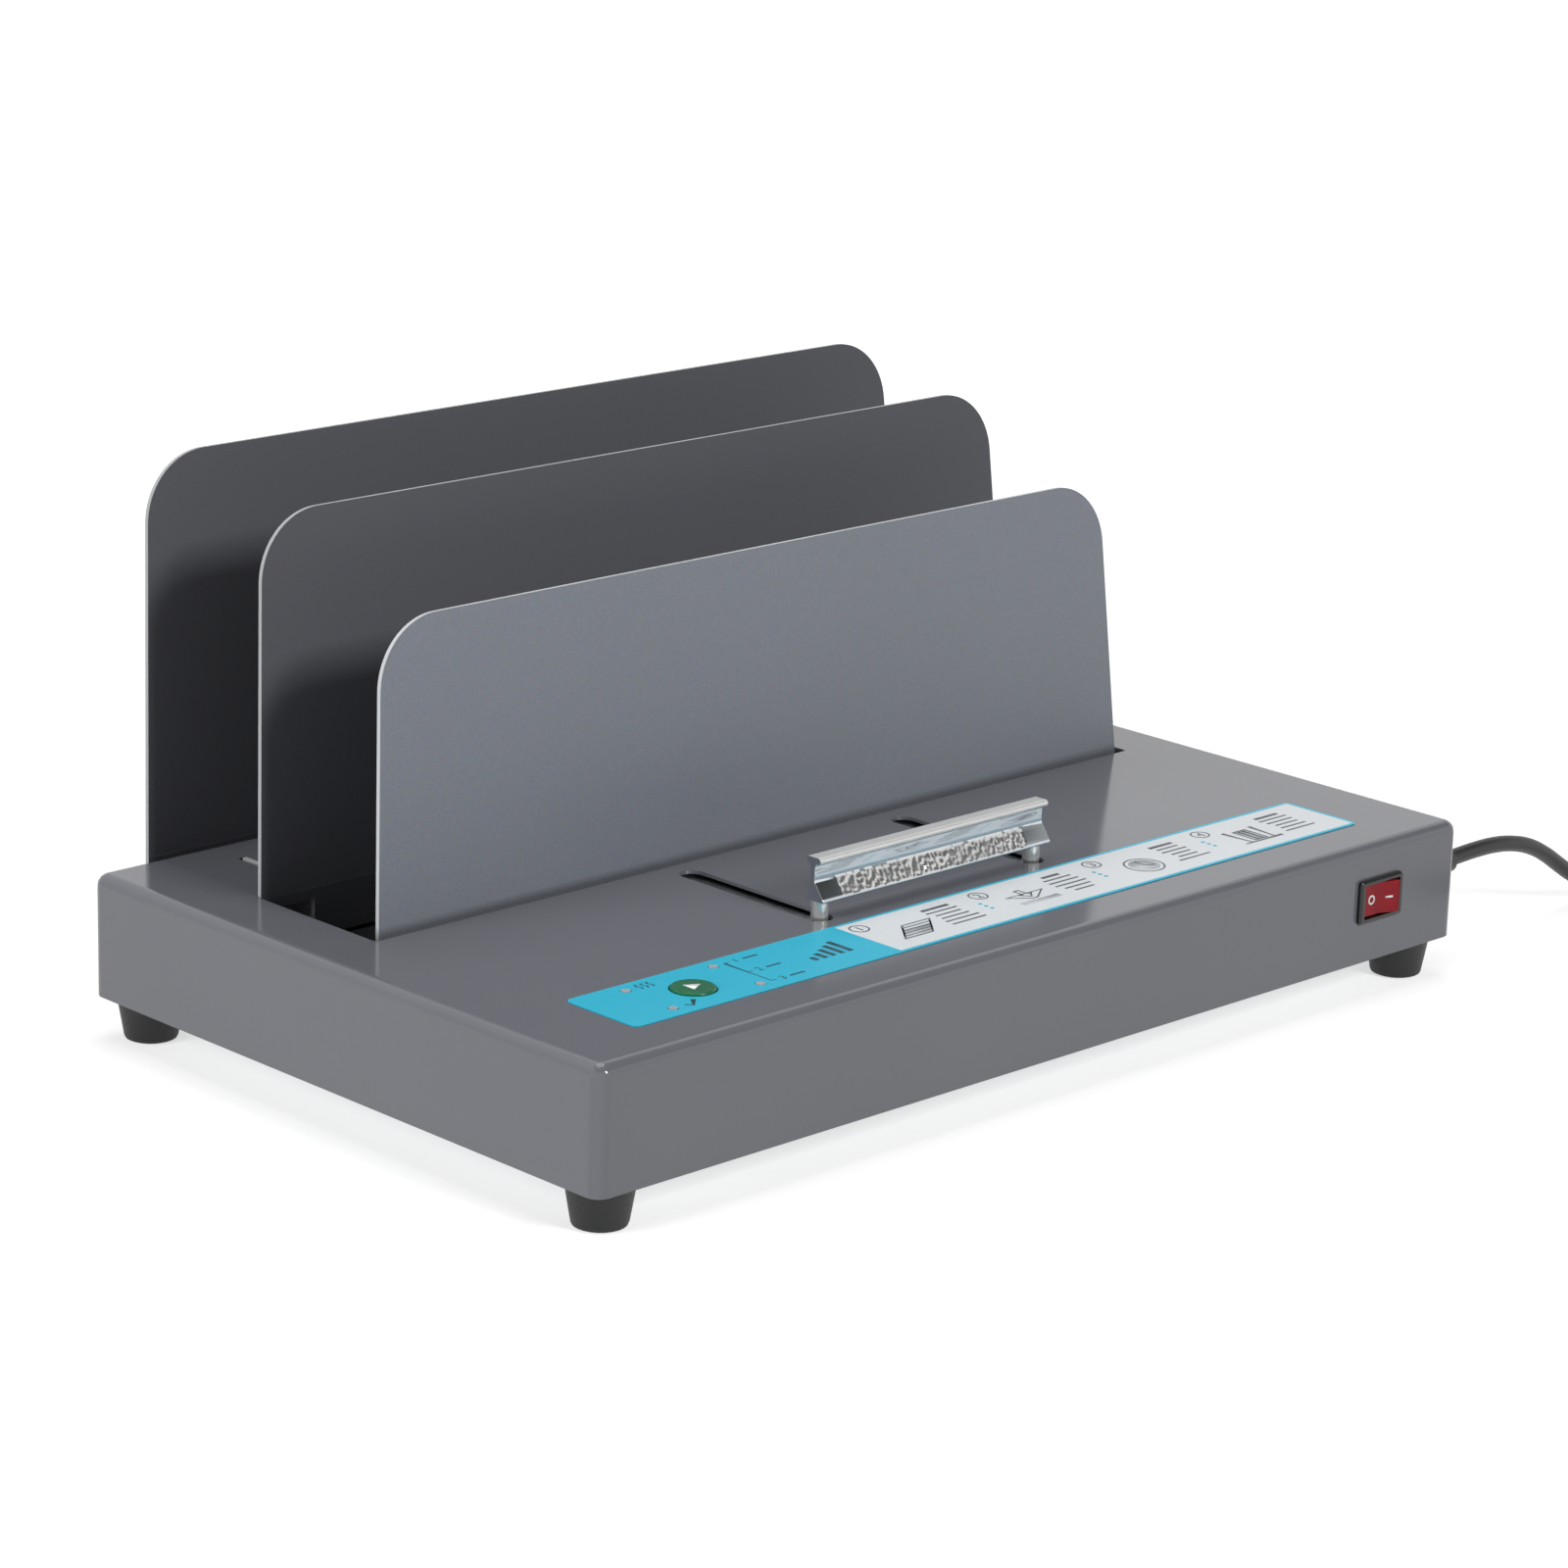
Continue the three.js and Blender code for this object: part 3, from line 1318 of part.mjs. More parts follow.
const heaterRoute = [
  wayEnd(2),
  ...bend(wayEnd(2), heaterLanding, heaterDropShares),
  heaterLanding,
  heaterTakeOff,
  ...bend(heaterTakeOff, trayHole, heaterClimbShares),
  trayHole,
  pastHole,
  ...bend(pastHole, elementEnd, heaterRiseShares),
  elementEnd,
];

add('mains_lead', 'blackPlastic', leadAlong(mainsRoute));
add('switch_lead', 'blackPlastic', leadAlong(switchRoute));
add('heater_lead', 'whitePlastic', leadAlong(heaterRoute));

// Power cord: strain relief, free stretch, coil, tie and plug

const reliefTipX = rightX + gap.seat + relief.length;

function alongX(geometry) {
  return geometry.rotateY(Math.PI / 2);
}

function strainRelief() {
  const r = relief;
  const neckStart = -body.sheet - gap.seat;
  const profile = [
    [0, neckStart - r.flangeLength],
    [r.flangeRadius, neckStart - r.flangeLength],
    [r.flangeRadius, neckStart],
    [r.neckRadius, neckStart],
    [r.neckRadius, gap.seat],
    [r.rootRadius, gap.seat],
  ];
  const radiusAt = (along) => r.rootRadius + ((r.tipRadius - r.rootRadius) * along) / r.length;
  for (let i = 1; i <= r.grooveCount; i += 1) {
    const start = i * r.groovePitch;
    const end = start + r.grooveWidth;
    profile.push([radiusAt(start), gap.seat + start]);
    profile.push([radiusAt(start) - r.grooveDepth, gap.seat + start]);
    profile.push([radiusAt(end) - r.grooveDepth, gap.seat + end]);
    profile.push([radiusAt(end), gap.seat + end]);
  }
  profile.push([r.tipRadius, gap.seat + r.length]);
  profile.push([0, gap.seat + r.length]);
  return alongX(turned(profile, roundSides)).translate(rightX, cord.exitY, cord.exitZ);
}

const coilMiddle = coil.turns / 2;
const coilOuterRadius = coil.innerRadius + coil.pitch * coilMiddle;
const coilLowZ = coil.lift + cord.diameter / 2;
const coilEndAngle = -Math.PI / 2;
const coilStartAngle = coilEndAngle + coil.turns * 2 * Math.PI;
const climbTurns = 0.5;

function coilPoint(turn) {
  const angle = coilStartAngle - turn * 2 * Math.PI;
  const radius = coil.innerRadius + coil.pitch * Math.abs(turn - coilMiddle);
  const climb = THREE.MathUtils.smoothstep(turn, coilMiddle - climbTurns / 2, coilMiddle + climbTurns / 2);
  return new THREE.Vector3(
    coilX + radius * Math.cos(angle),
    coil.centreY + radius * Math.sin(angle),
    coilLowZ + climb * coil.pitch,
  );
}

const stepsPerLoop = 24;
const coilSides = 6;

// The coil's middle line, with a straight end one diameter long at each side.
function coilLine() {
  const points = [];
  const steps = Math.round(coil.turns * stepsPerLoop);
  for (let i = 0; i <= steps; i += 1) points.push(coilPoint((i / steps) * coil.turns));
  const step = coil.turns / 1000;
  const startAway = coilPoint(0).sub(coilPoint(step)).setLength(cord.diameter);
  const endAway = coilPoint(coil.turns).sub(coilPoint(coil.turns - step)).setLength(cord.diameter);
  return [points[0].clone().add(startAway), ...points, points[steps].clone().add(endAway)];
}

function windingGeometry(points) {
  const positions = [];
  const indices = [];
  const up = new THREE.Vector3(0, 0, 1);
  const lastPoint = points.length - 1;
  points.forEach((point, i) => {
    const ahead = points[Math.min(i + 1, lastPoint)];
    const tangent = ahead.clone().sub(points[Math.max(i - 1, 0)]).normalize();
    const side = new THREE.Vector3().crossVectors(up, tangent).normalize();
    const rise = new THREE.Vector3().crossVectors(tangent, side);
    for (let k = 0; k < coilSides; k += 1) {
      const angle = (k / coilSides) * 2 * Math.PI;
      const spoke = side.clone().multiplyScalar(Math.cos(angle)).addScaledVector(rise, Math.sin(angle));
      positions.push(...point.clone().addScaledVector(spoke, cord.diameter / 2).toArray());
    }
  });
  for (let i = 0; i + 1 < points.length; i += 1) {
    for (let k = 0; k < coilSides; k += 1) {
      const a = i * coilSides + k;
      const b = i * coilSides + ((k + 1) % coilSides);
      indices.push(a, b, b + coilSides, a, b + coilSides, a + coilSides);
    }
  }
  const last = lastPoint * coilSides;
  for (let k = 1; k + 1 < coilSides; k += 1) {
    indices.push(0, k + 1, k);
    indices.push(last, last + k, last + k + 1);
  }
  const geometry = new THREE.BufferGeometry();
  geometry.setAttribute('position', new THREE.Float32BufferAttribute(positions, 3));
  geometry.setIndex(indices);
  return geometry;
}

function leastGap(points) {
  let least = Infinity;
  for (let i = 0; i < points.length; i += 1) {
    for (let j = i + stepsPerLoop / 2; j < points.length; j += 1) {
      least = Math.min(least, points[i].distanceTo(points[j]));
    }
  }
  return least - cord.diameter;
}

const windingPoints = coilLine();
console.log(`coil: least gap between turns ${leastGap(windingPoints).toFixed(2)} mm`);

// The free stretch, from the strain relief down to the surface and on to the coil.
// Each row holds the way out from the wall, the way to the rear of the exit, and the height.
const cordRoute = [
  [22.6, 0, 30.5],
  [29.5, 0, 30.8],
  [37.5, 0, 31],
  [47.5, 0, 30.7],
  [57.5, 0, 29.3],
  [67.5, 0, 26.4],
  [76.5, 0, 22],
  [84.5, 0, 16.9],
  [92.5, -0.1, 11.8],
  [101.5, -0.3, 7.3],
  [110.5, -0.7, 4.7],
  [118.5, -1.3, 3.9],
];

function freeCord() {
  const start = windingPoints[0];
  const inward = windingPoints[0].clone().sub(windingPoints[1]).setLength(gap.seat);
  const meet = start.clone().add(inward);
  const before = start.clone().add(inward.clone().setLength(cord.diameter));
  const route = cordRoute.map(([out, back, z]) => new THREE.Vector3(rightX + out, cord.exitY + back, z));
  route[0].x = reliefTipX + gap.seat;
  const curve = new THREE.CatmullRomCurve3([...route, before, meet], false, 'centripetal');
  const section = new THREE.Shape().absarc(0, 0, cord.diameter / 2, 0, 2 * Math.PI);
  const steps = Math.ceil(curve.getLength() / (2 * cord.diameter));
  const length = curve.getLength() + new THREE.CatmullRomCurve3(windingPoints).getLength();
  console.log(`cord: ${(length + relief.length).toFixed(0)} mm from the body to the plug`);
  const settings = { extrudePath: curve, steps, bevelEnabled: false, curveSegments: 4 };
  return new THREE.ExtrudeGeometry(section, settings);
}

function coilTie() {
  const inner = {
    xs: [
      coilX + coil.innerRadius - cord.diameter / 2 - gap.slide,
      coilX + coilOuterRadius + cord.diameter / 2 + gap.slide,
    ],
    zs: [coil.lift - gap.seat, coilLowZ + coil.pitch + cord.diameter / 2 + gap.slide],
  };
  const outer = {
    xs: [inner.xs[0] - tie.thickness, inner.xs[1] + tie.thickness],
    zs: [inner.zs[0] - tie.thickness, inner.zs[1] + tie.thickness],
  };
  const ys = span(coil.centreY, tie.width);
  const headXs = span(middle(outer.xs), tie.headLength);
  const head = block(headXs, ys, [outer.zs[1] - gap.weld, outer.zs[1] + tie.headHeight]);
  return cut(join(block(outer.xs, ys, outer.zs), head), block(inner.xs, through(ys), inner.zs));
}

const coilEnd = windingPoints[windingPoints.length - 1];
const plugReliefX = coilEnd.x - gap.seat;
const plugRearX = plugReliefX - plug.reliefLength;
const plugFrontX = plugRearX - plug.length;

function plugGeometry() {
  const relievedCone = turned([
    [0, 0],
    [plug.tipRadius, 0],
    [plug.reliefRadius, plug.reliefLength + gap.weld],
    [0, plug.reliefLength + gap.weld],
  ]);
  const cone = alongX(relievedCone).rotateZ(Math.PI).translate(plugReliefX, coilEnd.y, coilEnd.z);
  const half = [plug.thickness / 2, plug.width / 2];
  const shoulder = plug.cornerRadius;
  const [thinShare, narrowShare] = plug.rearShares;
  const full = roundedOutline(half[0], half[1], shoulder, 4);
  const levels = [
    { z: 0, outline: roundedOutline(half[0] * thinShare, half[1] * narrowShare, shoulder, 4) },
    { z: shoulder, outline: roundedOutline(half[0], half[1] * plug.shoulderShare, shoulder, 4) },
    { z: plug.length * plug.gripShare, outline: full },
    { z: plug.length, outline: full },
  ];
  const shell = alongX(stack(levels)).rotateZ(Math.PI).translate(plugRearX, coilEnd.y, coilEnd.z);
  return join(cone, shell, ...plugPins());
}

function plugPins() {
  const xs = [plugFrontX - pin.length, plugFrontX + gap.weld];
  const flat = block(xs, span(0, pin.thickness), span(0, pin.width));
  const blade = (dy, dz, angle) =>
    flat.clone().rotateX(angle).translate(0, coilEnd.y + dy, coilEnd.z + dz);
  const half = pin.spacing / 2;
  const low = -pin.width / 4;
  return [blade(-half, low, pin.angle), blade(half, low, -pin.angle), blade(0, pin.earthRise, Math.PI / 2)];
}

add('strain_relief', 'blackPlastic', strainRelief(), cordGroup);
add('power_cord', 'rubber', freeCord(), cordGroup);
add('cord_coil', 'rubber', windingGeometry(windingPoints), cordGroup);
add('coil_tie', 'blackPlastic', coilTie(), cordGroup);
add('plug', 'blackPlastic', plugGeometry(), cordGroup);

// The origin: on the surface the feet stand on, under the middle of the machine without its cord.
const footprint = new THREE.Box3().setFromObject(machine, true);
const centre = footprint.getCenter(new THREE.Vector3());
const bindingMachine = new THREE.Group();
bindingMachine.add(machine, cordGroup);
bindingMachine.position.set(-centre.x, -centre.y, 0);
console.log(`origin: ${centre.x.toFixed(3)}, ${centre.y.toFixed(3)} from the front face's middle`);
console.log(`travel of the front plate: ${clampTravel.toFixed(2)} mm`);

export default bindingMachine;
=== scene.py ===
# %% [markdown]
# A thermal binding machine
#
# An office machine that glues loose pages into a cover. Pages stand in a heated slot between two
# steel plates; the front plate slides back on rods and clamps them while the glue in the spine melts.
# The solids come from a CAD model with one body for what stands still and one for each thing that
# moves. This script gives them finishes, adds what is too fine for CAD, and lights the scene.

import math
import random

import bpy
import bmesh
from mathutils import Matrix, Vector


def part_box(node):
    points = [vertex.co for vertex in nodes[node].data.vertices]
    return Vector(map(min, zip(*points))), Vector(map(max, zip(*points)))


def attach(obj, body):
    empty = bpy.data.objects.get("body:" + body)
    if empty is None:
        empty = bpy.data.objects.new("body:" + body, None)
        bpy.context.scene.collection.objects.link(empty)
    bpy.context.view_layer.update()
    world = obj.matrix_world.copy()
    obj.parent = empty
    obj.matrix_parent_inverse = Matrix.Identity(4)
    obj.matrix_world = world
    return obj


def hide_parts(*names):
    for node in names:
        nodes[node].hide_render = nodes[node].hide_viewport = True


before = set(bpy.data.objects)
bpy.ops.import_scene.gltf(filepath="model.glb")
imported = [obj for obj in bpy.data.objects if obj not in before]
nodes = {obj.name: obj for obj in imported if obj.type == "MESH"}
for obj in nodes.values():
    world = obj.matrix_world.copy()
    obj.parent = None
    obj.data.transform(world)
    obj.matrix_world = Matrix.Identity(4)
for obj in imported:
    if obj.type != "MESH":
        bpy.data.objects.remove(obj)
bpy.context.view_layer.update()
random.seed(8)

# %% [markdown]
# Two small helpers carry the whole file. Lengths are written in millimetres, as they are on the
# real machine, and turned to metres in one place. Places along Y are measured from the cover's
# front face, as a maker would with a rule, while the frame has its origin under the middle.

# %% Millimetres
FRONT_FACE_Y = 122.66  # how far the cover's front face is in front of the origin
END_FACE_X = 192.5  # the cover's right face


def mm(*lengths):
    """Millimetres to metres: one number, or a point."""
    metres = [length / 1000 for length in lengths]
    return metres[0] if len(metres) == 1 else Vector(metres)


def from_front(x, y, z):
    """A point whose y is measured from the cover's front face, all in millimetres."""
    return mm(x, y - FRONT_FACE_Y, z)


top_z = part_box("top_cover")[1].z * 1000
print("top of the cover:", round(top_z, 2), "mm above the table")

# %% [markdown]
# The camera stands to the left of the machine and looks down on it a little. Its place and its
# long lens were worked out from the edges of the body in the photograph, so that the render and
# the photograph lie over each other.

# %% The camera
PHOTO_SIDE = 1600  # pixels
FOCAL_LENGTH = 4995  # pixels
SENSOR_WIDTH = 36  # mm

azimuth = math.radians(44.579)
elevation = math.radians(16.203)
roll = math.radians(1.637)
ahead = Vector((
    math.sin(azimuth) * math.cos(elevation),
    math.cos(azimuth) * math.cos(elevation),
    -math.sin(elevation),
))
level = Vector((math.cos(azimuth), -math.sin(azimuth), 0))
right = level * math.cos(roll) + level.cross(ahead) * math.sin(roll)
up = right.cross(ahead)

camera_data = bpy.data.cameras.new("camera")
camera_data.sensor_width = SENSOR_WIDTH
camera_data.lens = SENSOR_WIDTH * FOCAL_LENGTH / PHOTO_SIDE
camera_data.clip_start = 0.05
camera = bpy.data.objects.new("camera", camera_data)
camera.matrix_world = Matrix((right, up, -ahead)).transposed().to_4x4()
camera.location = mm(-1063.1, -1076.3, 512.7)
bpy.context.scene.collection.objects.link(camera)
bpy.context.scene.camera = camera
print("lens:", round(camera_data.lens, 1), "mm")

# %% [markdown]
# The power cord leaves the right end through a strain relief, drops to the table and is put away
# in a coil of two layers that a tie holds. A cord is best made as a curve with a round section: the
# curve is its middle line, so its length can be measured. The route repeats the CAD model's, and
# the coil comes from the same formula: the radius shrinks turn by turn, then grows again above.

# %% The cord's middle line
CORD_DIAMETER = 5.6
EXIT_Y, EXIT_Z = 21, 30.2

# Out from the end face, towards the rear of the exit, and the height.
CORD_ROUTE = [
    (3, 0, 30.2), (12, 0, 30.3), (22.6, 0, 30.5), (29.5, 0, 30.8), (37.5, 0, 31), (47.5, 0, 30.7),
    (57.5, 0, 29.3), (67.5, 0, 26.4), (76.5, 0, 22), (84.5, 0, 16.9), (92.5, -0.1, 11.8),
    (101.5, -0.3, 7.3), (110.5, -0.7, 4.7), (118.5, -1.3, 3.9),
]
COIL_X, COIL_Y = END_FACE_X + 129.5, -21.5
COIL_INNER_RADIUS, COIL_PITCH, COIL_TURNS, COIL_LIFT = 22.6, 6.1, 6.486, 1
CLIMB_TURNS = 0.5  # the part of a turn in which the cord climbs to the upper layer
STEPS_PER_LOOP = 24


def coil_point(turn):
    """The point after so many turns, counted from where the cord comes in."""
    half_way = COIL_TURNS / 2
    angle = -math.pi / 2 + (COIL_TURNS - turn) * 2 * math.pi
    radius = COIL_INNER_RADIUS + COIL_PITCH * abs(turn - half_way)
    share = min(max((turn - half_way + CLIMB_TURNS / 2) / CLIMB_TURNS, 0), 1)
    climb = share * share * (3 - 2 * share)
    x = COIL_X + radius * math.cos(angle)
    y = COIL_Y + radius * math.sin(angle)
    return from_front(x, y, COIL_LIFT + CORD_DIAMETER / 2 + climb * COIL_PITCH)


coil_steps = round(COIL_TURNS * STEPS_PER_LOOP)
coil_points = [coil_point(i / coil_steps * COIL_TURNS) for i in range(coil_steps + 1)]
run_in = (coil_points[0] - coil_points[1]).normalized() * mm(CORD_DIAMETER)
run_out = (coil_points[-1] - coil_points[-2]).normalized() * mm(CORD_DIAMETER)
route_points = [from_front(END_FACE_X + out, EXIT_Y + back, z) for out, back, z in CORD_ROUTE]
cord_points = [*route_points, coil_points[0] + 2 * run_in, *coil_points, coil_points[-1] + run_out]
print("cord points:", len(cord_points))

# %% The cord
cord_curve = bpy.data.curves.new("mains_cord", "CURVE")
cord_curve.dimensions = "3D"
cord_curve.resolution_u = 3
cord_curve.bevel_depth = 1.0  # times each point's radius
cord_curve.bevel_resolution = 6
cord_curve.use_fill_caps = True
spline = cord_curve.splines.new("BEZIER")
spline.bezier_points.add(len(cord_points) - 1)
for bezier_point, point in zip(spline.bezier_points, cord_points):
    bezier_point.co = point
    bezier_point.radius = mm(CORD_DIAMETER / 2)
    bezier_point.handle_left_type = bezier_point.handle_right_type = "AUTO"
mains_cord = bpy.data.objects.new("mains_cord", cord_curve)
bpy.context.scene.collection.objects.link(mains_cord)
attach(mains_cord, "machine")
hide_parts("power_cord", "cord_coil")

cord_length = sum((b - a).length for a, b in zip(cord_points, cord_points[1:]))
print("cord along its points:", round(cord_length, 3), "m")

# %% [markdown]
# A material in Blender is a small graph of nodes. Colours here are written as the sRGB hex values
# one would pick from a photograph, and one function turns them to the linear numbers that light is
# worked out with. Another adds a node with its settings and its links in one call.

# %% Helpers for finishes
def linear(hex_colour):
    """#rrggbb, as it looks on a screen, to linear red, green, blue and full alpha."""
    channels = [int(hex_colour[i:i + 2], 16) / 255 for i in (1, 3, 5)]
    return (*(c / 12.92 if c <= 0.04045 else ((c + 0.055) / 1.055) ** 2.4 for c in channels), 1)


def add(tree, kind, inputs=None, **settings):
    """Adds a node. Each input takes a value, or the output socket of another node."""
    made = tree.nodes.new(kind)
    for name, value in settings.items():
        setattr(made, name, value)
    for key, value in (inputs or {}).items():
        if isinstance(value, bpy.types.NodeSocket):
            tree.links.new(value, made.inputs[key])
        else:
            made.inputs[key].default_value = value
    return made


def start_finish(name, roughness, metallic=0.0, ior=1.5):
    """A new material with its shader and the object's own coordinates in metres."""
    material = bpy.data.materials.new(name)
    material.use_nodes = True
    tree = material.node_tree
    shader = tree.nodes["Principled BSDF"]
    shader.inputs["Roughness"].default_value = roughness
    shader.inputs["Metallic"].default_value = metallic
    shader.inputs["IOR"].default_value = ior
    place = add(tree, "ShaderNodeTexCoord").outputs["Object"]
    return material, tree, shader, place


def per_metre(size_mm):
    """The scale of a pattern whose grains are this many millimetres wide."""
    return 1000 / size_mm


# %% [markdown]
# Most finishes differ in the same few ways: a slow drift of colour over the piece, a grain that
# lifts the surface a few microns, and a polish that isn't equal everywhere. One function takes
# those from real sizes, and each finish below says what it is and where its numbers come from.

# %% A grained finish
NOISE_LOW, NOISE_HIGH = 0.3, 0.7  # nearly all of a noise texture's output lies between these


def grained(name, light, dark, drift_mm, grain_mm, lift_mm, polish, metallic=0.0, ior=1.5, bump=0.5):
    """Colours between light and dark, and roughness between the two numbers of polish."""
    material, tree, shader, place = start_finish(name, polish[0], metallic, ior)
    drift = add(
        tree, "ShaderNodeTexNoise",
        {"Vector": place, "Scale": per_metre(drift_mm), "Detail": 4.0},
    )
    tint = add(
        tree, "ShaderNodeMix",
        {"Factor": drift.outputs["Fac"], 6: linear(light), 7: linear(dark)},
        data_type="RGBA",
    )
    grain = add(
        tree, "ShaderNodeTexNoise",
        {"Vector": place, "Scale": per_metre(grain_mm), "Detail": 3.0},
    )
    dull = add(
        tree, "ShaderNodeMapRange",
        {"Value": grain.outputs["Fac"], "From Min": NOISE_LOW, "From Max": NOISE_HIGH,
         "To Min": polish[0], "To Max": polish[1]},
    )
    relief = add(
        tree, "ShaderNodeBump",
        {"Height": grain.outputs["Fac"], "Distance": mm(lift_mm), "Strength": bump},
    )
    tree.links.new(tint.outputs[2], shader.inputs["Base Color"])
    tree.links.new(dull.outputs["Result"], shader.inputs["Roughness"])
    tree.links.new(relief.outputs["Normal"], shader.inputs["Normal"])
    return material


# %% [markdown]
# The body is deep-drawn or folded sheet steel with grey stoving enamel: paint sprayed on and baked
# hard. It is glossy enough to mirror the plates, and it has the faint orange-peel waves of sprayed
# paint, 2 to 4 mm across. The waves are drawn a little stronger than on the real one, so that they
# show at this distance. A dielectric with IOR 1.5 gives the clear-edged reflection that grows
# stronger at a flat angle.

# %% Grey stoving enamel
enamel, tree, shader, place = start_finish("grey_stoving_enamel", roughness=0.16)
drift = add(tree, "ShaderNodeTexNoise", {"Vector": place, "Scale": per_metre(120), "Detail": 3.0})
tint = add(
    tree, "ShaderNodeMix",
    {"Factor": drift.outputs["Fac"], 6: linear("#66676d"), 7: linear("#5f6066")},
    data_type="RGBA",
)
peel = add(tree, "ShaderNodeTexNoise", {"Vector": place, "Scale": per_metre(3.2), "Detail": 1.0})
dust = add(tree, "ShaderNodeTexNoise", {"Vector": place, "Scale": per_metre(0.6), "Detail": 2.0})
waves = add(
    tree, "ShaderNodeBump",
    {"Height": peel.outputs["Fac"], "Distance": mm(0.012), "Strength": 0.35},
)
dull = add(
    tree, "ShaderNodeMapRange",
    {"Value": dust.outputs["Fac"], "From Min": 0.35, "From Max": 0.75, "To Min": 0.1, "To Max": 0.18},
)
tree.links.new(tint.outputs[2], shader.inputs["Base Color"])
tree.links.new(dull.outputs["Result"], shader.inputs["Roughness"])
tree.links.new(waves.outputs["Normal"], shader.inputs["Normal"])

# %% [markdown]
# The three plates are sheet steel too, cut and then painted. The cut edge is painted as a pale line
# round each plate: partly the thin film that a sharp edge takes, partly a painted highlight. That
# line can be found without any drawing: on the broad faces the normal points almost along Y, and
# on the cut edge it doesn't.

# %% The paint of the plates
def plate_paint(name, light, dark, edge, polish, metallic, flake_mm, flake_share):
    """Paint on a sheet, with metal flakes in it and a paler cut edge that is partly a painted
    highlight.
    """
    material, tree, shader, place = start_finish(name, polish[0], metallic)
    drift = add(tree, "ShaderNodeTexNoise", {"Vector": place, "Scale": per_metre(160), "Detail": 2.0})
    paint = add(
        tree, "ShaderNodeMix",
        {"Factor": drift.outputs["Fac"], 6: linear(light), 7: linear(dark)},
        data_type="RGBA",
    )
    flakes = add(tree, "ShaderNodeTexVoronoi", {"Vector": place, "Scale": per_metre(flake_mm)})
    sparkle = add(
        tree, "ShaderNodeMix",
        {"Factor": flake_share, 6: paint.outputs[2], 7: flakes.outputs["Color"]},
        data_type="RGBA", blend_type="SOFT_LIGHT",
    )
    normal = add(
        tree, "ShaderNodeVectorTransform",
        {"Vector": add(tree, "ShaderNodeNewGeometry").outputs["True Normal"]},
        vector_type="NORMAL", convert_from="WORLD", convert_to="OBJECT",
    )
    along_y = add(tree, "ShaderNodeSeparateXYZ", {"Vector": normal.outputs["Vector"]}).outputs["Y"]
    flatness = add(tree, "ShaderNodeMath", {0: along_y}, operation="ABSOLUTE")
    on_edge = add(
        tree, "ShaderNodeMapRange",
        {"Value": flatness.outputs["Value"], "From Min": 0.25, "From Max": 0.75,
         "To Min": 1.0, "To Max": 0.0},
    )
    # The cut edge gets a paler colour: partly its thin paint, partly a painted highlight.
    colour = add(
        tree, "ShaderNodeMix",
        {"Factor": on_edge.outputs["Result"], 6: sparkle.outputs[2], 7: linear(edge)},
        data_type="RGBA",
    )
    grain = add(tree, "ShaderNodeTexNoise", {"Vector": place, "Scale": per_metre(0.9), "Detail": 2.0})
    dull = add(
        tree, "ShaderNodeMapRange",
        {"Value": grain.outputs["Fac"], "From Min": NOISE_LOW, "From Max": NOISE_HIGH,
         "To Min": polish[0], "To Max": polish[1]},
    )
    relief = add(
        tree, "ShaderNodeBump",
        {"Height": grain.outputs["Fac"], "Distance": mm(0.01), "Strength": 0.25},
    )
    tree.links.new(colour.outputs[2], shader.inputs["Base Color"])
    tree.links.new(dull.outputs["Result"], shader.inputs["Roughness"])
    tree.links.new(relief.outputs["Normal"], shader.inputs["Normal"])
    return material


silver_paint = plate_paint(
    "satin_silver_grey_paint", "#7a7e87", "#72767e", "#c2c5c8", (0.44, 0.52), 0.15, 0.5, 0.12,
)
slate_paint = plate_paint(
    "dark_slate_paint", "#5a5b60", "#55565b", "#a7a9ab", (0.5, 0.58), 0.0, 0.5, 0.04,
)
slate_paint.node_tree.nodes["Principled BSDF"].inputs["Specular IOR Level"].default_value = 0.15

# %% [markdown]
# A dark line runs along the foot of the front plate. It is painted shade: the shadow of the gap
# where the plate stands in the well, put into the plate's colour. It is painted by height over the
# cover's top, and fades out within three millimetres.

# %% Painted shade at the front plate's foot
LINE_DARK, LINE_END = 0.3, 2.8  # mm over the top
LINE_STRENGTH = 0.5

tree = silver_paint.node_tree
shader = tree.nodes["Principled BSDF"]
unshaded_paint = shader.inputs["Base Color"].links[0].from_socket
place = add(tree, "ShaderNodeTexCoord").outputs["Object"]
plate_height = add(tree, "ShaderNodeSeparateXYZ", {"Vector": place}).outputs["Z"]
# Painted shade: the plate's colour darkens towards its foot, just over the cover's top.
foot_shade = add(
    tree, "ShaderNodeMapRange",
    {"Value": plate_height, "From Min": mm(top_z + LINE_DARK), "From Max": mm(top_z + LINE_END),
     "To Min": LINE_STRENGTH, "To Max": 0.0},
)
shaded_paint = add(
    tree, "ShaderNodeMix",
    {"Factor": foot_shade.outputs["Result"], 6: unshaded_paint, 7: linear("#1b1c1e")},
    data_type="RGBA",
)
tree.links.new(shaded_paint.outputs[2], shader.inputs["Base Color"])

# %% [markdown]
# Chrome plate is a mirror over polished steel: full metallic, with a roughness near zero that
# fingers raise a little here and there. The colour is chromium's own, a cool pale grey. Where the
# steel was hammered before plating, the same plate lies over many small dents. On the lip the steel
# was brushed, so that the plate there is softly bright, and the turned posts are satin. What part of
# these reads as pale steel rather than as a mirror is set by a metallic value below one.

# %% Chrome
SMEAR_WIDTH = 9  # mm


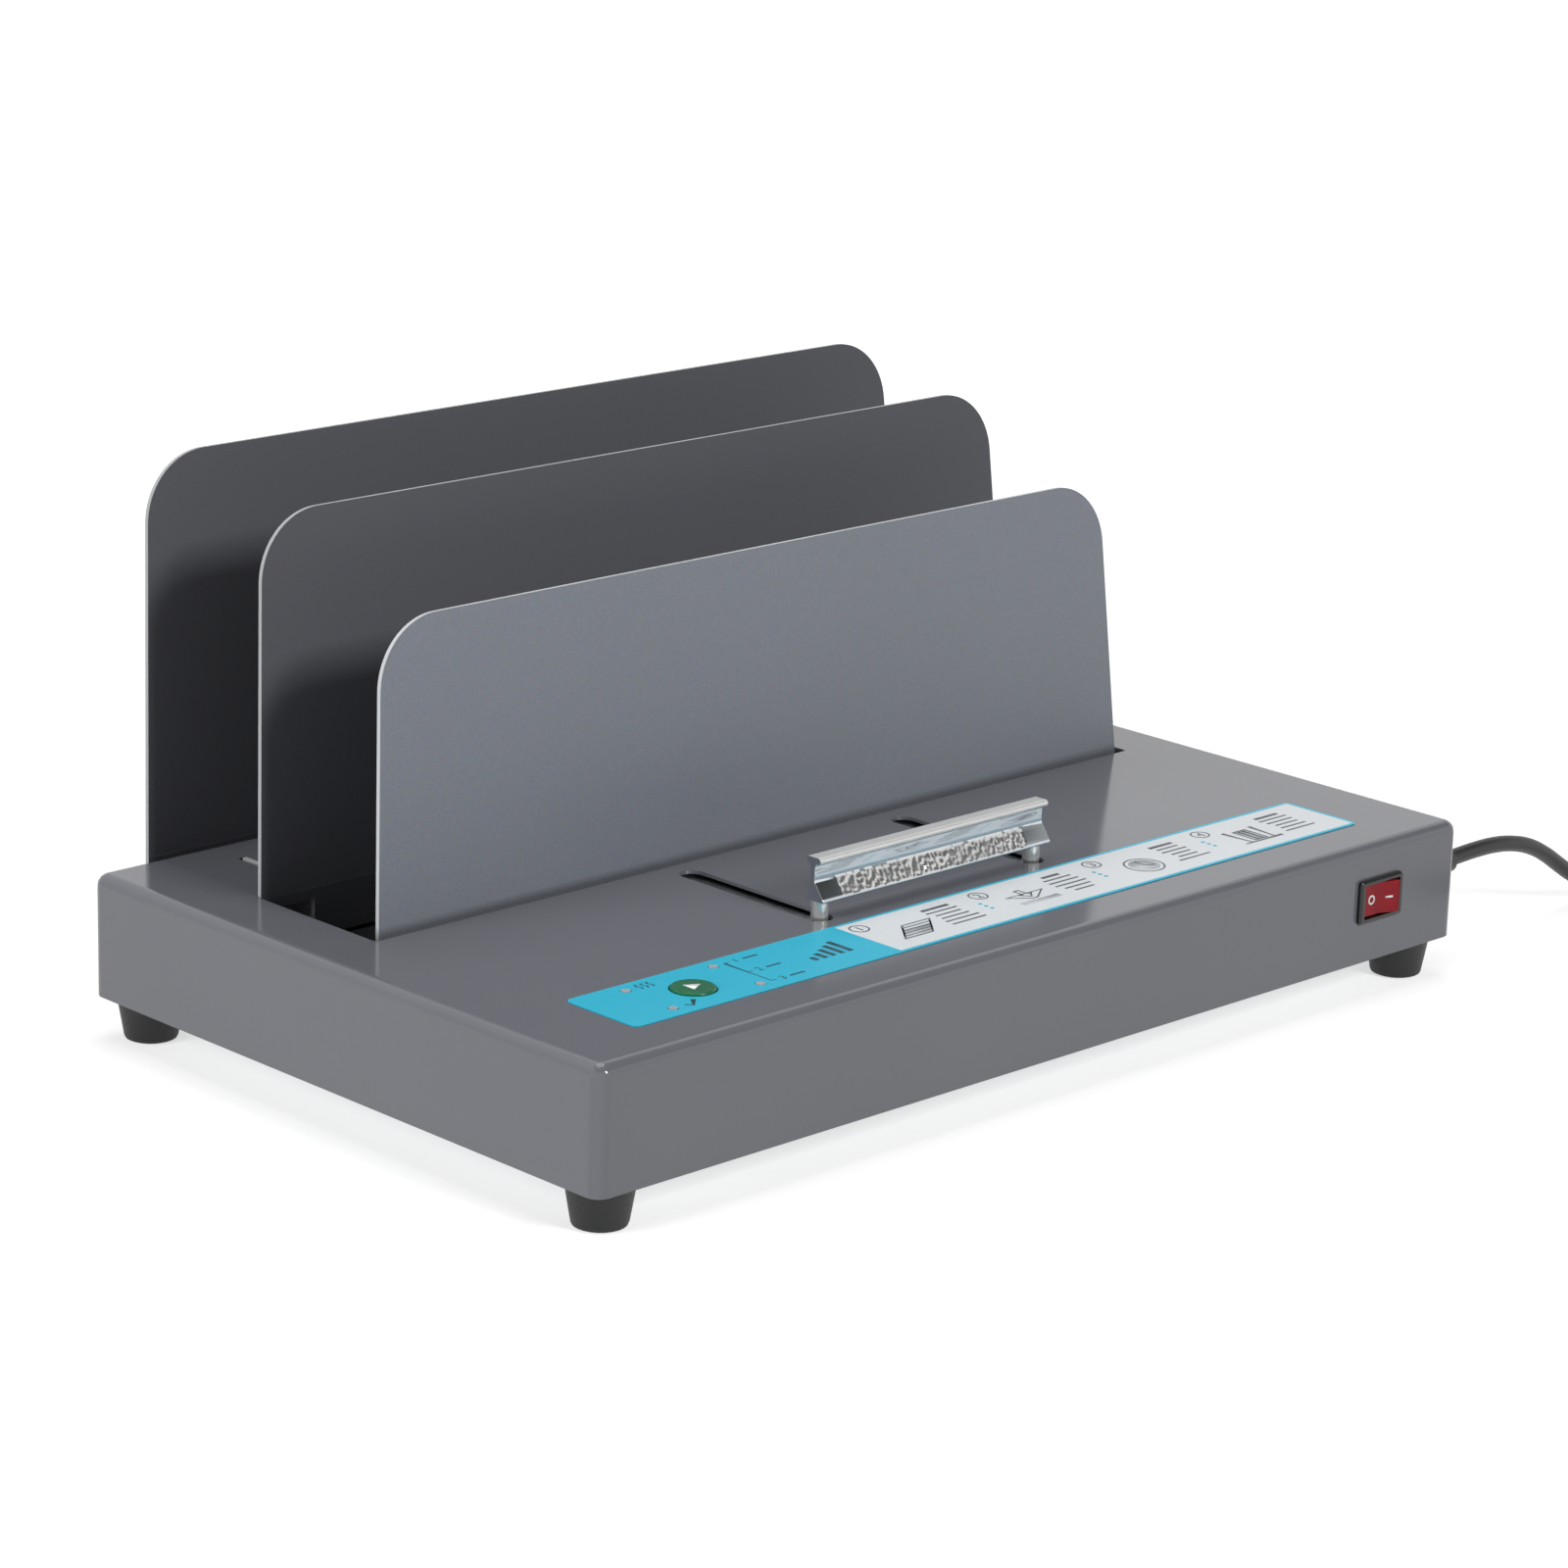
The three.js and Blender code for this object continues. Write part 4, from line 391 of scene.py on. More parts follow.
def chrome_plate(name, light, dark, polish, metallic=1.0):
    """Chrome whose colour and roughness drift a little where it has been touched."""
    material, tree, shader, place = start_finish(name, polish[0], metallic)
    smear = add(
        tree, "ShaderNodeTexNoise",
        {"Vector": place, "Scale": per_metre(SMEAR_WIDTH), "Detail": 4.0},
    )
    tint = add(
        tree, "ShaderNodeMix",
        {"Factor": smear.outputs["Fac"], 6: linear(light), 7: linear(dark)},
        data_type="RGBA",
    )
    haze = add(
        tree, "ShaderNodeMapRange",
        {"Value": smear.outputs["Fac"], "From Min": NOISE_LOW, "From Max": NOISE_HIGH,
         "To Min": polish[0], "To Max": polish[1]},
    )
    tree.links.new(tint.outputs[2], shader.inputs["Base Color"])
    tree.links.new(haze.outputs["Result"], shader.inputs["Roughness"])
    return material


chrome = chrome_plate("bright_chrome_plate", "#dbe2e6", "#c9d1d6", (0.05, 0.09))
hammered = chrome_plate("hammered_chrome_plate", "#e2e2e0", "#bcbdbd", (0.15, 0.23), metallic=0.86)
brushed = chrome_plate("brushed_chrome_plate", "#dcdcda", "#c6c7c6", (0.3, 0.42), metallic=0.5)
satin = chrome_plate("satin_chrome_plate", "#e2e2e0", "#cccdcc", (0.16, 0.24), metallic=0.8)

# %% [markdown]
# The small metal pieces: zinc plate on folded steel has large pale crystals, turned steel and
# brass have a fine machined grain, and the heating plate is dark anodised aluminium with a dull,
# fine-etched face.

# %% Plain metals
zinc = grained(
    "zinc_plated_steel", "#b4b8bc", "#8f9499", 9, 1.2, 0.01, (0.3, 0.45), metallic=1.0, bump=0.3,
)
turned_steel = grained(
    "turned_steel", "#b7babd", "#9a9da1", 4, 0.4, 0.008, (0.22, 0.36), metallic=1.0,
)
brass = grained("turned_brass", "#cbb26a", "#a88d48", 6, 0.5, 0.008, (0.22, 0.34), metallic=1.0)
anodised = grained(
    "dark_anodised_aluminium", "#3c3e42", "#2c2e31", 18, 0.7, 0.012, (0.42, 0.55), metallic=0.6,
)

# %% [markdown]
# Rubber and plastics come from moulds, so they take the mould's texture. Rubber feet and the PVC
# of the cord are nearly black with a soft sheen. The switch's housing is black ABS with a fine
# spark-eroded grain. White nylon, blue and black casings and the fibre board lie inside.

# %% Rubber and plastics
rubber = grained("moulded_rubber", "#121315", "#0b0c0d", 7, 0.6, 0.02, (0.46, 0.62), ior=1.52)
cord_pvc = grained("cord_pvc", "#1a1b1c", "#111213", 30, 1.1, 0.02, (0.36, 0.48), ior=1.53)
black_abs = grained("black_abs", "#191a1b", "#121314", 10, 0.5, 0.012, (0.26, 0.36), ior=1.53)
white_nylon = grained("white_nylon", "#dcdad2", "#cbc9bf", 12, 0.8, 0.01, (0.4, 0.52), ior=1.53)
blue_casing = grained(
    "blue_polyester_casing", "#2f6ab0", "#235596", 8, 0.6, 0.012, (0.34, 0.46), ior=1.54,
)
fibre_board = grained("pressed_fibre_board", "#d0cab9", "#b6af9d", 5, 0.9, 0.05, (0.85, 0.95), ior=1.45)
mica_sheet = grained("mica_sheet", "#c08b58", "#94613a", 12, 2.5, 0.03, (0.35, 0.6), ior=1.58)

# %% [markdown]
# The plug is moulded round its pins in one piece, so one finish has to tell them apart. The pins
# are nickel-plated brass, and they lie beyond the plug's face, on the side of smaller x.

# %% The plug, black with bright pins
PIN_LENGTH = 16
pin_root_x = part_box("plug")[0].x + mm(PIN_LENGTH)

plug_finish = grained("black_plug_pvc", "#1b1c1d", "#121314", 9, 0.7, 0.02, (0.34, 0.46), ior=1.53)
tree = plug_finish.node_tree
shader = tree.nodes["Principled BSDF"]
body_colour = shader.inputs["Base Color"].links[0].from_socket
place = add(tree, "ShaderNodeTexCoord").outputs["Object"]
apart = add(tree, "ShaderNodeSeparateXYZ", {"Vector": place})
on_pin = add(tree, "ShaderNodeMath", {0: apart.outputs["X"], 1: pin_root_x}, operation="LESS_THAN")
colour = add(
    tree, "ShaderNodeMix",
    {"Factor": on_pin.outputs["Value"], 6: body_colour, 7: linear("#c9c3b2")},
    data_type="RGBA",
)
tree.links.new(colour.outputs[2], shader.inputs["Base Color"])
tree.links.new(on_pin.outputs["Value"], shader.inputs["Metallic"])

# %% [markdown]
# The circuit board is glass-filled epoxy under green solder resist. Straight tracks of copper lie
# under the resist and show as paler bands, about 2.4 mm wide: a wave texture along one axis, with
# some noise that breaks it up, is enough for a board that hangs out of sight.

# %% Circuit board
TRACK_WIDTH = 2.4  # mm
HALF_WAVES = 6.28  # about how many half waves the texture has in a metre at scale 1

circuit_board, tree, shader, place = start_finish("green_solder_resist", roughness=0.3, ior=1.55)
tracks = add(
    tree, "ShaderNodeTexWave",
    {"Vector": place, "Scale": per_metre(TRACK_WIDTH) / HALF_WAVES, "Distortion": 3.0, "Detail": 1.0},
    wave_profile="SAW",
)
copper = add(
    tree, "ShaderNodeMapRange",
    {"Value": tracks.outputs["Fac"], "From Min": 0.45, "From Max": 0.55},
)
tint = add(
    tree, "ShaderNodeMix",
    {"Factor": copper.outputs["Result"], 6: linear("#17583a"), 7: linear("#247a4e")},
    data_type="RGBA",
)
etched = add(
    tree, "ShaderNodeBump",
    {"Height": copper.outputs["Result"], "Distance": mm(0.05), "Strength": 0.4},
)
tree.links.new(tint.outputs[2], shader.inputs["Base Color"])
tree.links.new(etched.outputs["Normal"], shader.inputs["Normal"])

# %% [markdown]
# The rocker is moulded in clear red polycarbonate, so that a lamp can shine through it. Light goes
# a few millimetres into it and comes out deeper red; the surface itself is polished. The button is
# opaque dark green ABS, and the indicator windows are clear lenses that look pale grey unlit.

# %% Clear and coloured plastics
red_clear = grained(
    "clear_red_polycarbonate", "#99101f", "#700812", 5, 0.8, 0.004, (0.14, 0.2), ior=1.58,
)
shader = red_clear.node_tree.nodes["Principled BSDF"]
shader.inputs["Specular IOR Level"].default_value = 0.15
shader.inputs["Subsurface Weight"].default_value = 0.25
shader.inputs["Subsurface Radius"].default_value = mm(3, 0.6, 0.6)
shader.inputs["Subsurface Scale"].default_value = 1.0
green_abs = grained("dark_green_abs", "#136b43", "#0d5635", 6, 0.5, 0.008, (0.24, 0.32), ior=1.53)
pale_lens = grained("pale_lens_acrylic", "#c4ccce", "#aeb8ba", 2, 0.4, 0.003, (0.12, 0.2), ior=1.49)
pale_lens.node_tree.nodes["Principled BSDF"].inputs["Transmission Weight"].default_value = 0.3

# %% [markdown]
# The label is a printed polyester film: blue behind the button, white beside it, with a narrow blue
# border. The two colours are decided by place: left of the boundary the film is blue, and so is a
# strip 1.3 mm wide along its edge. Film has a soft gloss with a very fine texture.

# %% Printed film
label_low, label_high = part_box("label")
BLUE_END_X = -52  # mm, where the blue panel ends
BORDER = 1.3  # mm
BLUE, WHITE = "#1eaac6", "#cdd1d4"

film, tree, shader, place = start_finish("printed_polyester_film", roughness=0.42, ior=1.5)
apart = add(tree, "ShaderNodeSeparateXYZ", {"Vector": place})
blue_limits = [
    ("X", "LESS_THAN", mm(BLUE_END_X)),
    ("X", "GREATER_THAN", label_high.x - mm(BORDER)),
    ("Y", "GREATER_THAN", label_high.y - mm(BORDER)),
    ("Y", "LESS_THAN", label_low.y + mm(BORDER)),
]
is_blue = 0.0
for axis, side, limit in blue_limits:
    part = add(tree, "ShaderNodeMath", {0: apart.outputs[axis], 1: limit}, operation=side)
    either = add(tree, "ShaderNodeMath", {0: is_blue, 1: part.outputs["Value"]}, operation="MAXIMUM")
    is_blue = either.outputs["Value"]
mottle = add(tree, "ShaderNodeTexNoise", {"Vector": place, "Scale": per_metre(1.5), "Detail": 2.0})
tint = add(
    tree, "ShaderNodeMix",
    {"Factor": is_blue, 6: linear(WHITE), 7: linear(BLUE)},
    data_type="RGBA",
)
dull = add(
    tree, "ShaderNodeMapRange",
    {"Value": mottle.outputs["Fac"], "From Min": NOISE_LOW, "From Max": NOISE_HIGH,
     "To Min": 0.38, "To Max": 0.48},
)
relief = add(
    tree, "ShaderNodeBump",
    {"Height": mottle.outputs["Fac"], "Distance": mm(0.006), "Strength": 0.3},
)
tree.links.new(tint.outputs[2], shader.inputs["Base Color"])
tree.links.new(dull.outputs["Result"], shader.inputs["Roughness"])
tree.links.new(relief.outputs["Normal"], shader.inputs["Normal"])

# %% [markdown]
# Screen-printing ink lies on the film as a thin opaque coat. Each colour of ink is one finish.

# %% Inks
dark_ink = grained("dark_grey_ink", "#50555b", "#454a50", 3, 0.4, 0.004, (0.4, 0.5))
grey_ink = grained("pale_grey_ink", "#b4b8bd", "#a9adb2", 3, 0.4, 0.004, (0.4, 0.5))
blue_ink = grained("blue_ink", BLUE, "#1ea9c4", 3, 0.4, 0.004, (0.4, 0.5))
white_ink = grained("white_ink", "#eceeee", "#e2e5e6", 3, 0.4, 0.004, (0.4, 0.5))
deep_blue_ink = grained("deep_blue_ink", "#114b5a", "#0f424f", 3, 0.4, 0.004, (0.4, 0.5))

# %% [markdown]
# Each solid from CAD now gets its finish. A solid's mesh isn't touched: modifiers on top of it
# weld the corners, round the sharp edges by a few tenths of a millimetre, as paint and tools do on
# the real piece, and shade it smooth wherever two faces meet at a flat angle.

# %% Smooth shading as a modifier
SMOOTH_ANGLE = math.radians(32)


def smooth_by_angle():
    """A node group that shades smooth, with sharp edges where faces meet at more than an angle."""
    group = bpy.data.node_groups.new("smooth_by_angle", "GeometryNodeTree")
    group.interface.new_socket("Geometry", in_out="INPUT", socket_type="NodeSocketGeometry")
    angle = group.interface.new_socket("Angle", in_out="INPUT", socket_type="NodeSocketFloat")
    angle.default_value = SMOOTH_ANGLE
    group.interface.new_socket("Geometry", in_out="OUTPUT", socket_type="NodeSocketGeometry")
    start = add(group, "NodeGroupInput")
    plain = add(
        group, "GeometryNodeRemoveAttribute",
        {"Geometry": start.outputs["Geometry"], "Name": "custom_normal"},
    )
    smooth = add(
        group, "GeometryNodeSetShadeSmooth",
        {"Geometry": plain.outputs["Geometry"], "Shade Smooth": True},
        domain="FACE",
    )
    between = add(group, "GeometryNodeInputMeshEdgeAngle")
    steep = add(
        group, "FunctionNodeCompare",
        {0: between.outputs["Unsigned Angle"], 1: start.outputs["Angle"]},
        data_type="FLOAT", operation="GREATER_THAN",
    )
    sharp = add(
        group, "GeometryNodeSetShadeSmooth",
        {"Geometry": smooth.outputs["Geometry"], "Selection": steep.outputs["Result"],
         "Shade Smooth": False},
        domain="EDGE",
    )
    add(group, "NodeGroupOutput", {"Geometry": sharp.outputs["Geometry"]})
    return group


smoothing = smooth_by_angle()

# %% Dressing a piece
WELD_MM = 0.002
FLAT_ANGLE = math.radians(0.5)  # faces that meet at less than this are one flat face
EDGE_ANGLE = math.radians(50)  # edges sharper than this are rounded
EDGE_SEGMENTS = 2


def dress(obj, finish, edge_mm=0.0, joined=True):
    """Gives a piece its finish, softened edges and smooth shading."""
    if obj.data.materials:
        obj.data.materials[0] = finish
    else:
        obj.data.materials.append(finish)
    weld = obj.modifiers.new("weld", "WELD")
    weld.merge_threshold = mm(WELD_MM)
    if edge_mm and joined:
        # A CAD solid's flat faces come as triangles. They are joined before the edges are rounded.
        flat = obj.modifiers.new("flat_faces", "DECIMATE")
        flat.decimate_type = "DISSOLVE"
        flat.angle_limit = FLAT_ANGLE
    if edge_mm:
        rounding = obj.modifiers.new("edges", "BEVEL")
        rounding.width = mm(edge_mm)
        rounding.segments = EDGE_SEGMENTS
        rounding.limit_method = "ANGLE"
        rounding.angle_limit = EDGE_ANGLE
        rounding.use_clamp_overlap = True
    shade = obj.modifiers.new("smooth_by_angle", "NODES")
    shade.node_group = smoothing
    weights = obj.modifiers.new("weighted_normals", "WEIGHTED_NORMAL")
    weights.keep_sharp = True


# %% Finishes of the CAD solids
# The finish, how much its edges are rounded in mm, and how the names of its solids start.
FINISHES = [
    (enamel, 0.3, ["top_cover"]),
    (silver_paint, 0.3, ["front_plate"]),
    (slate_paint, 0.3, ["middle_plate", "back_plate"]),
    (chrome, 0.25, ["handle"]),
    (satin, 0.0, ["handle_post"]),
    (zinc, 0.2, ["base_pan", "slide_carriage", "rod_bracket", "rear_rail"]),
    (zinc, 0.2, ["heater_tray", "handle_nut"]),
    (turned_steel, 0.0, ["back_plate_screw", "foot_screw", "guide_rod", "thermal_fuse"]),
    (brass, 0.2, ["carriage_bush"]),
    (anodised, 0.3, ["heating_plate"]),
    (rubber, 0.0, ["foot_front", "foot_rear"]),
    (black_abs, 0.2, ["switch_housing", "thermostat", "buzzer", "key_switch"]),
    (cord_pvc, 0.0, ["strain_relief", "coil_tie", "power_cord", "cord_coil"]),
    (cord_pvc, 0.0, ["mains_lead", "switch_lead"]),
    (plug_finish, 0.3, ["plug"]),
    (white_nylon, 0.2, ["connector", "key_plunger"]),
    (white_nylon, 0.0, ["heater_lead"]),
    (blue_casing, 0.2, ["transformer", "relay"]),
    (fibre_board, 0.2, ["insulation_board"]),
    (mica_sheet, 0.2, ["heating_element"]),
    (circuit_board, 0.0, ["control_board"]),
    (red_clear, 0.25, ["rocker"]),
    (green_abs, 0.2, ["start_button"]),
    (pale_lens, 0.0, ["indicator"]),
    (film, 0.0, ["label"]),
]

finish_of = {start: (finish, edge_mm) for finish, edge_mm, starts in FINISHES for start in starts}
for name in sorted(nodes):
    # The longest start of a name is the one that tells a handle's post from the handle.
    start = max((start for start in finish_of if name.startswith(start)), key=len)
    dress(nodes[name], *finish_of[start])
print("solids dressed:", len(nodes))

mains_cord.data.materials.append(cord_pvc)

# The coil lies beside the machine, outside the picture. A photographer would carry it away, so it
# isn't mirrored in the glossy front wall.
for piece in (mains_cord, nodes["plug"], nodes["coil_tie"]):
    piece.visible_glossy = False

# %% [markdown]
# The handle is a drawn steel bar: a rolled lip on top for the fingertips, a hollow face under it,
# and a foot that spreads over the two posts. The solid from CAD has straight faces. This one
# follows the same section with its curves, so it replaces the solid. The section is drawn once, as
# points in the plane of Y and Z, with Y measured from the axis of the posts, and swept along X.

# %% The handle's section
post_low, post_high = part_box("handle_post_left")
POST_AXIS_Y = (post_low.y + post_high.y) / 2 * 1000


def arc(y, z, radius, first, last, steps=8):
    """Points on a circle, from the angle first to last in degrees, 0 towards the rear."""
    angles = [math.radians(first + (last - first) * i / steps) for i in range(steps + 1)]
    return [Vector((y + radius * math.cos(a), z + radius * math.sin(a))) for a in angles]


def through(points, steps=4):
    """A smooth line through the points, each stretch cut into steps."""
    points = [Vector(point) for point in points]
    ends = [points[0], *points, points[-1]]
    line = []
    for before, a, b, after in zip(ends, ends[1:], ends[2:], ends[3:]):
        for i in range(steps):
            t = i / steps
            tangent_a, tangent_b = (b - before) / 2, (after - a) / 2
            line.append(
                (2 * t**3 - 3 * t**2 + 1) * a + (t**3 - 2 * t**2 + t) * tangent_a
                + (3 * t**2 - 2 * t**3) * b + (t**3 - t**2) * tangent_b
            )
    return [*line, points[-1]]


front_lip = arc(-2.3, 72.5, 1.1, 80, 262)
front_face = through([(-1.75, 71.5), (-1.2, 70.8), (-0.95, 69.6), (-0.85, 67.8), (-0.95, 65.8)])
FLARE_STEPS = 11
flare_top, flare_foot = Vector((-0.95, 65.8)), Vector((-4.85, 60.4))
flare = [flare_top.lerp(flare_foot, i / FLARE_STEPS) for i in range(FLARE_STEPS + 1)]
toe = through([(-4.85, 60.4), (-4.9, 60.05), (-4.8, 59.65), (-4.5, 59.5)], steps=2)
rear_face = through([
    (2.4, 59.5), (2.65, 60.2), (1.7, 61.6), (1.05, 64), (0.9, 68), (1.1, 70.6), (1.5, 71.5),
])
rear_lip = arc(1.85, 72.5, 1.05, -82, 100)
section = [*front_lip, *front_face[:-1], *flare, *toe[1:], *rear_face, *rear_lip]
flare_start = len(front_lip) + len(front_face) - 1
flare_rows = range(flare_start, flare_start + len(flare) - 1)
lip_rows = [*range(len(front_lip)), *range(len(section) - len(rear_lip), len(section))]
print("points round the section:", len(section))

# %% [markdown]
# The hammered strip covers the flare from 9% to 90% of the length. Its dents are about half a
# millimetre wide. They are in the mesh itself: between the ends of the strip the sweep takes steps
# of 0.55 mm, and each inner corner moves in by up to 0.22 mm or out by a little less, a different
# amount each. The flare's two ends stay flat and polished.

# %% The handle
STRIP_SHARES = (0.09, 0.9)
DENT_STEP, DENT_DEPTH = 0.55, 0.22
DENT_RISE = DENT_DEPTH * 0.6
BORDER_STEP = 0.4  # mm from the strip to the next ring, which keeps the polished ends flat
SAME_PLACE = mm(0.01)
handle_low, handle_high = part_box("handle")


def along_handle(share):
    """The x at a share of the handle's length."""
    return handle_low.x + share * (handle_high.x - handle_low.x)


strip_start, strip_end = (along_handle(share) for share in STRIP_SHARES)
strip_steps = round((strip_end - strip_start) / mm(DENT_STEP))
stations = [
    handle_low.x,
    strip_start - mm(BORDER_STEP),
    *(strip_start + (strip_end - strip_start) * i / strip_steps for i in range(strip_steps + 1)),
    strip_end + mm(BORDER_STEP),
    handle_high.x,
]
handle_mesh = bmesh.new()
rings = []
for x in stations:
    ring = [Vector((x, mm(POST_AXIS_Y + y), mm(z))) for y, z in section]
    if strip_start < x < strip_end:
        for row in flare_rows[1:]:
            tangent = ring[row + 1] - ring[row - 1]
            outward = Vector((0, tangent.z, -tangent.y)).normalized()
            ring[row] += outward * mm(random.uniform(-DENT_DEPTH, DENT_RISE))
    rings.append([handle_mesh.verts.new(point) for point in ring])

for near, far in zip(rings, rings[1:]):
    on_strip = near[0].co.x > strip_start - SAME_PLACE and far[0].co.x < strip_end + SAME_PLACE
    for row in range(len(section)):
        after = (row + 1) % len(section)
        face = handle_mesh.faces.new((near[row], near[after], far[after], far[row]))
        if on_strip and row in flare_rows:
            face.material_index = 1
        elif row in lip_rows:
            face.material_index = 2
handle_mesh.faces.new(rings[0])
handle_mesh.faces.new(reversed(rings[-1]))
bmesh.ops.recalc_face_normals(handle_mesh, faces=handle_mesh.faces)

# %% The handle's object
def new_piece(name, shape, finish, body, edge_mm=0.0, joined=True):
    """An object from a finished bmesh, with its finish, riding on its body."""
    mesh = bpy.data.meshes.new(name)
    shape.to_mesh(mesh)
    shape.free()
    piece = bpy.data.objects.new(name, mesh)
    bpy.context.scene.collection.objects.link(piece)
    dress(piece, finish, edge_mm, joined=joined)
    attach(piece, body)
    return piece


drawn_handle = new_piece(
    "drawn_handle", handle_mesh, chrome, "clamp", edge_mm=0.2, joined=False,
)
drawn_handle.data.materials.append(hammered)
drawn_handle.data.materials.append(brushed)
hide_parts("handle")
print("handle corners:", len(drawn_handle.data.vertices))

# %% [markdown]
# Everything printed is a flat outline on a surface. Three helpers make outlines: a stroke of some
# width along a line, a circle, and a numeral taken from the plain built-in typeface. A fourth lays
# a list of outlines on a plane as one coat of ink, 0.03 mm thick.

# %% Helpers for print
INK_THICKNESS, INK_WELD = 0.03, 0.005
LEAST_MITRE = 0.4  # keeps the mitre of a sharp corner short
TYPE_SIZE = 1.37  # for a numeral of height 1: the built-in ones fill 0.73 of their size


def stroke(points, width, closed=False):
    """Outlines of the pieces of a line, with mitred corners between them."""
    points = [Vector(point) for point in points]
    count = len(points)
    sides = []
    for i, point in enumerate(points):
        before = points[i - 1] if i or closed else point
        after = points[(i + 1) % count] if i + 1 < count or closed else point
        into = (point - before).normalized() or (after - point).normalized()
        out = (after - point).normalized() or into
        normal = Vector((-(into + out).y, (into + out).x)).normalized()
        reach = width / 2 / max(normal.dot(Vector((-out.y, out.x))), LEAST_MITRE)
        sides.append((point + normal * reach, point - normal * reach))
    last = count if closed else count - 1
    return [(*sides[i], *reversed(sides[(i + 1) % count])) for i in range(last)]


def circle(x, y, radius, steps=28):
    """Points round a centre."""
    turns = [2 * math.pi * i / steps for i in range(steps)]
    return [(x + radius * math.cos(a), y + radius * math.sin(a)) for a in turns]


def box_outline(x, y, width, height):
    """A rectangle by its centre."""
    return [(x + i * width / 2, y + j * height / 2) for i, j in ((-1, -1), (1, -1), (1, 1), (-1, 1))]


def numeral(text, x, y, height):
    """The filled outlines of a number, centred on a point."""
    curve = bpy.data.curves.new("numeral", "FONT")
    curve.body = text
    curve.size = height * TYPE_SIZE
    holder = bpy.data.objects.new("numeral", curve)
    bpy.context.scene.collection.objects.link(holder)
    bpy.context.view_layer.update()
    mesh = holder.evaluated_get(bpy.context.evaluated_depsgraph_get()).to_mesh()
    flat = [vertex.co.to_2d() for vertex in mesh.vertices]
    middle_x = (min(p.x for p in flat) + max(p.x for p in flat)) / 2
    middle_y = (min(p.y for p in flat) + max(p.y for p in flat)) / 2
    shift = Vector((x - middle_x, y - middle_y))
    outlines = [[flat[i] + shift for i in polygon.vertices] for polygon in mesh.polygons]
    bpy.data.objects.remove(holder)
    bpy.data.curves.remove(curve)
    return outlines


def lay_ink(name, finish, body, plane, outlines):
    """One coat of ink on a plane: a matrix whose columns are right, up, out and the origin."""
    shape = bmesh.new()
    for outline in outlines:
        shape.faces.new([shape.verts.new(plane @ mm(x, y, 0)) for x, y in outline])
    bmesh.ops.remove_doubles(shape, verts=shape.verts, dist=mm(INK_WELD))
    out = plane.to_3x3() @ Vector((0, 0, 1))
    shape.normal_update()
    for face in shape.faces:
        if face.normal.dot(out) < 0:
            face.normal_flip()
    printed = new_piece(name, shape, finish, body)
    coat = printed.modifiers.new("coat", "SOLIDIFY")
    coat.thickness = mm(INK_THICKNESS)
    coat.offset = 1
    return printed


# %% [markdown]
# The white part of the film tells how to use the machine in four steps. Here each step is a
# numeral in a ring, a plain picture and a few bars: pages squared up, a cover laid on the bar, the
# time that it takes, and the bound book standing to cool. Grey tints fill the pictures.

# %% Four plain pictures
def pages(x, y):
    """Three loose sheets, one on another."""
    sheets = [[(x + dx + i * 1.6, y + dy + i * 1.9) for dx, dy in ((-9, -5), (3, -5), (8, 1), (-4, 1))]
              for i in range(3)]
    return sheets, [sheets[0]]


def cover_on_bar(x, y):
    """A folded cover over a bar, with an arrow down."""
    fold = [(x - 8, y + 3.5), (x - 1, y - 1.5), (x + 1, y - 1.5), (x + 8, y + 3.5)]
    arrow = [(x - 1, y + 7), (x - 1, y + 3), (x - 2.6, y + 3), (x, y + 0.2),
             (x + 2.6, y + 3), (x + 1, y + 3), (x + 1, y + 7)]
    return [fold, arrow], [box_outline(x, y - 4, 17, 2.4)]


def clock(x, y):
    """A dial with two hands."""
    return [circle(x, y, 6.6), [(x, y + 4.4), (x, y), (x + 3.4, y - 1.6)]], [circle(x, y, 5.2)]


def standing_book(x, y):
    """A bound book upright between two plates."""
    leaves = [box_outline(x + i * 2.1, y + 0.6, 1.7, 10) for i in (-1, 0, 1)]
    plates = [[(x + side * 5.6, y - 5.4), (x + side * 6.6, y + 7)] for side in (-1, 1)]
    return [*leaves, *plates, [(x - 9, y - 5.6), (x + 9, y - 5.6)]], leaves


# %% The steps on the white part
film_top = mm(0, -FRONT_FACE_Y, 0) + Vector((0, 0, label_high.z))
film_plane = Matrix.Translation(film_top)
STEP_PITCH, FIRST_STEP_X = 52.5, -27
PICTURE_X, RING_X, TEXT_X = -7, -20, 13  # from the middle of a step
PICTURE_Y, TEXT_TOP = 32, 43
RING_RADIUS, NUMERAL_HEIGHT = 3.1, 3.8
ROWS, ROW_PITCH, ROW_HEIGHT, TITLE_HEIGHT = 6, 3, 0.8, 1.5
LINE, RING_LINE = 0.55, 0.5
LINES_LIFT = 0.035  # the lines lie over the tints
DOTS_X, DOTS_Y, DOT_PITCH, DOT_RADIUS, DOT_CORNERS = 0.8, 34.3, 2.6, 0.75, 14
OPEN_POINTS = 3  # an outline with more points than this is drawn closed

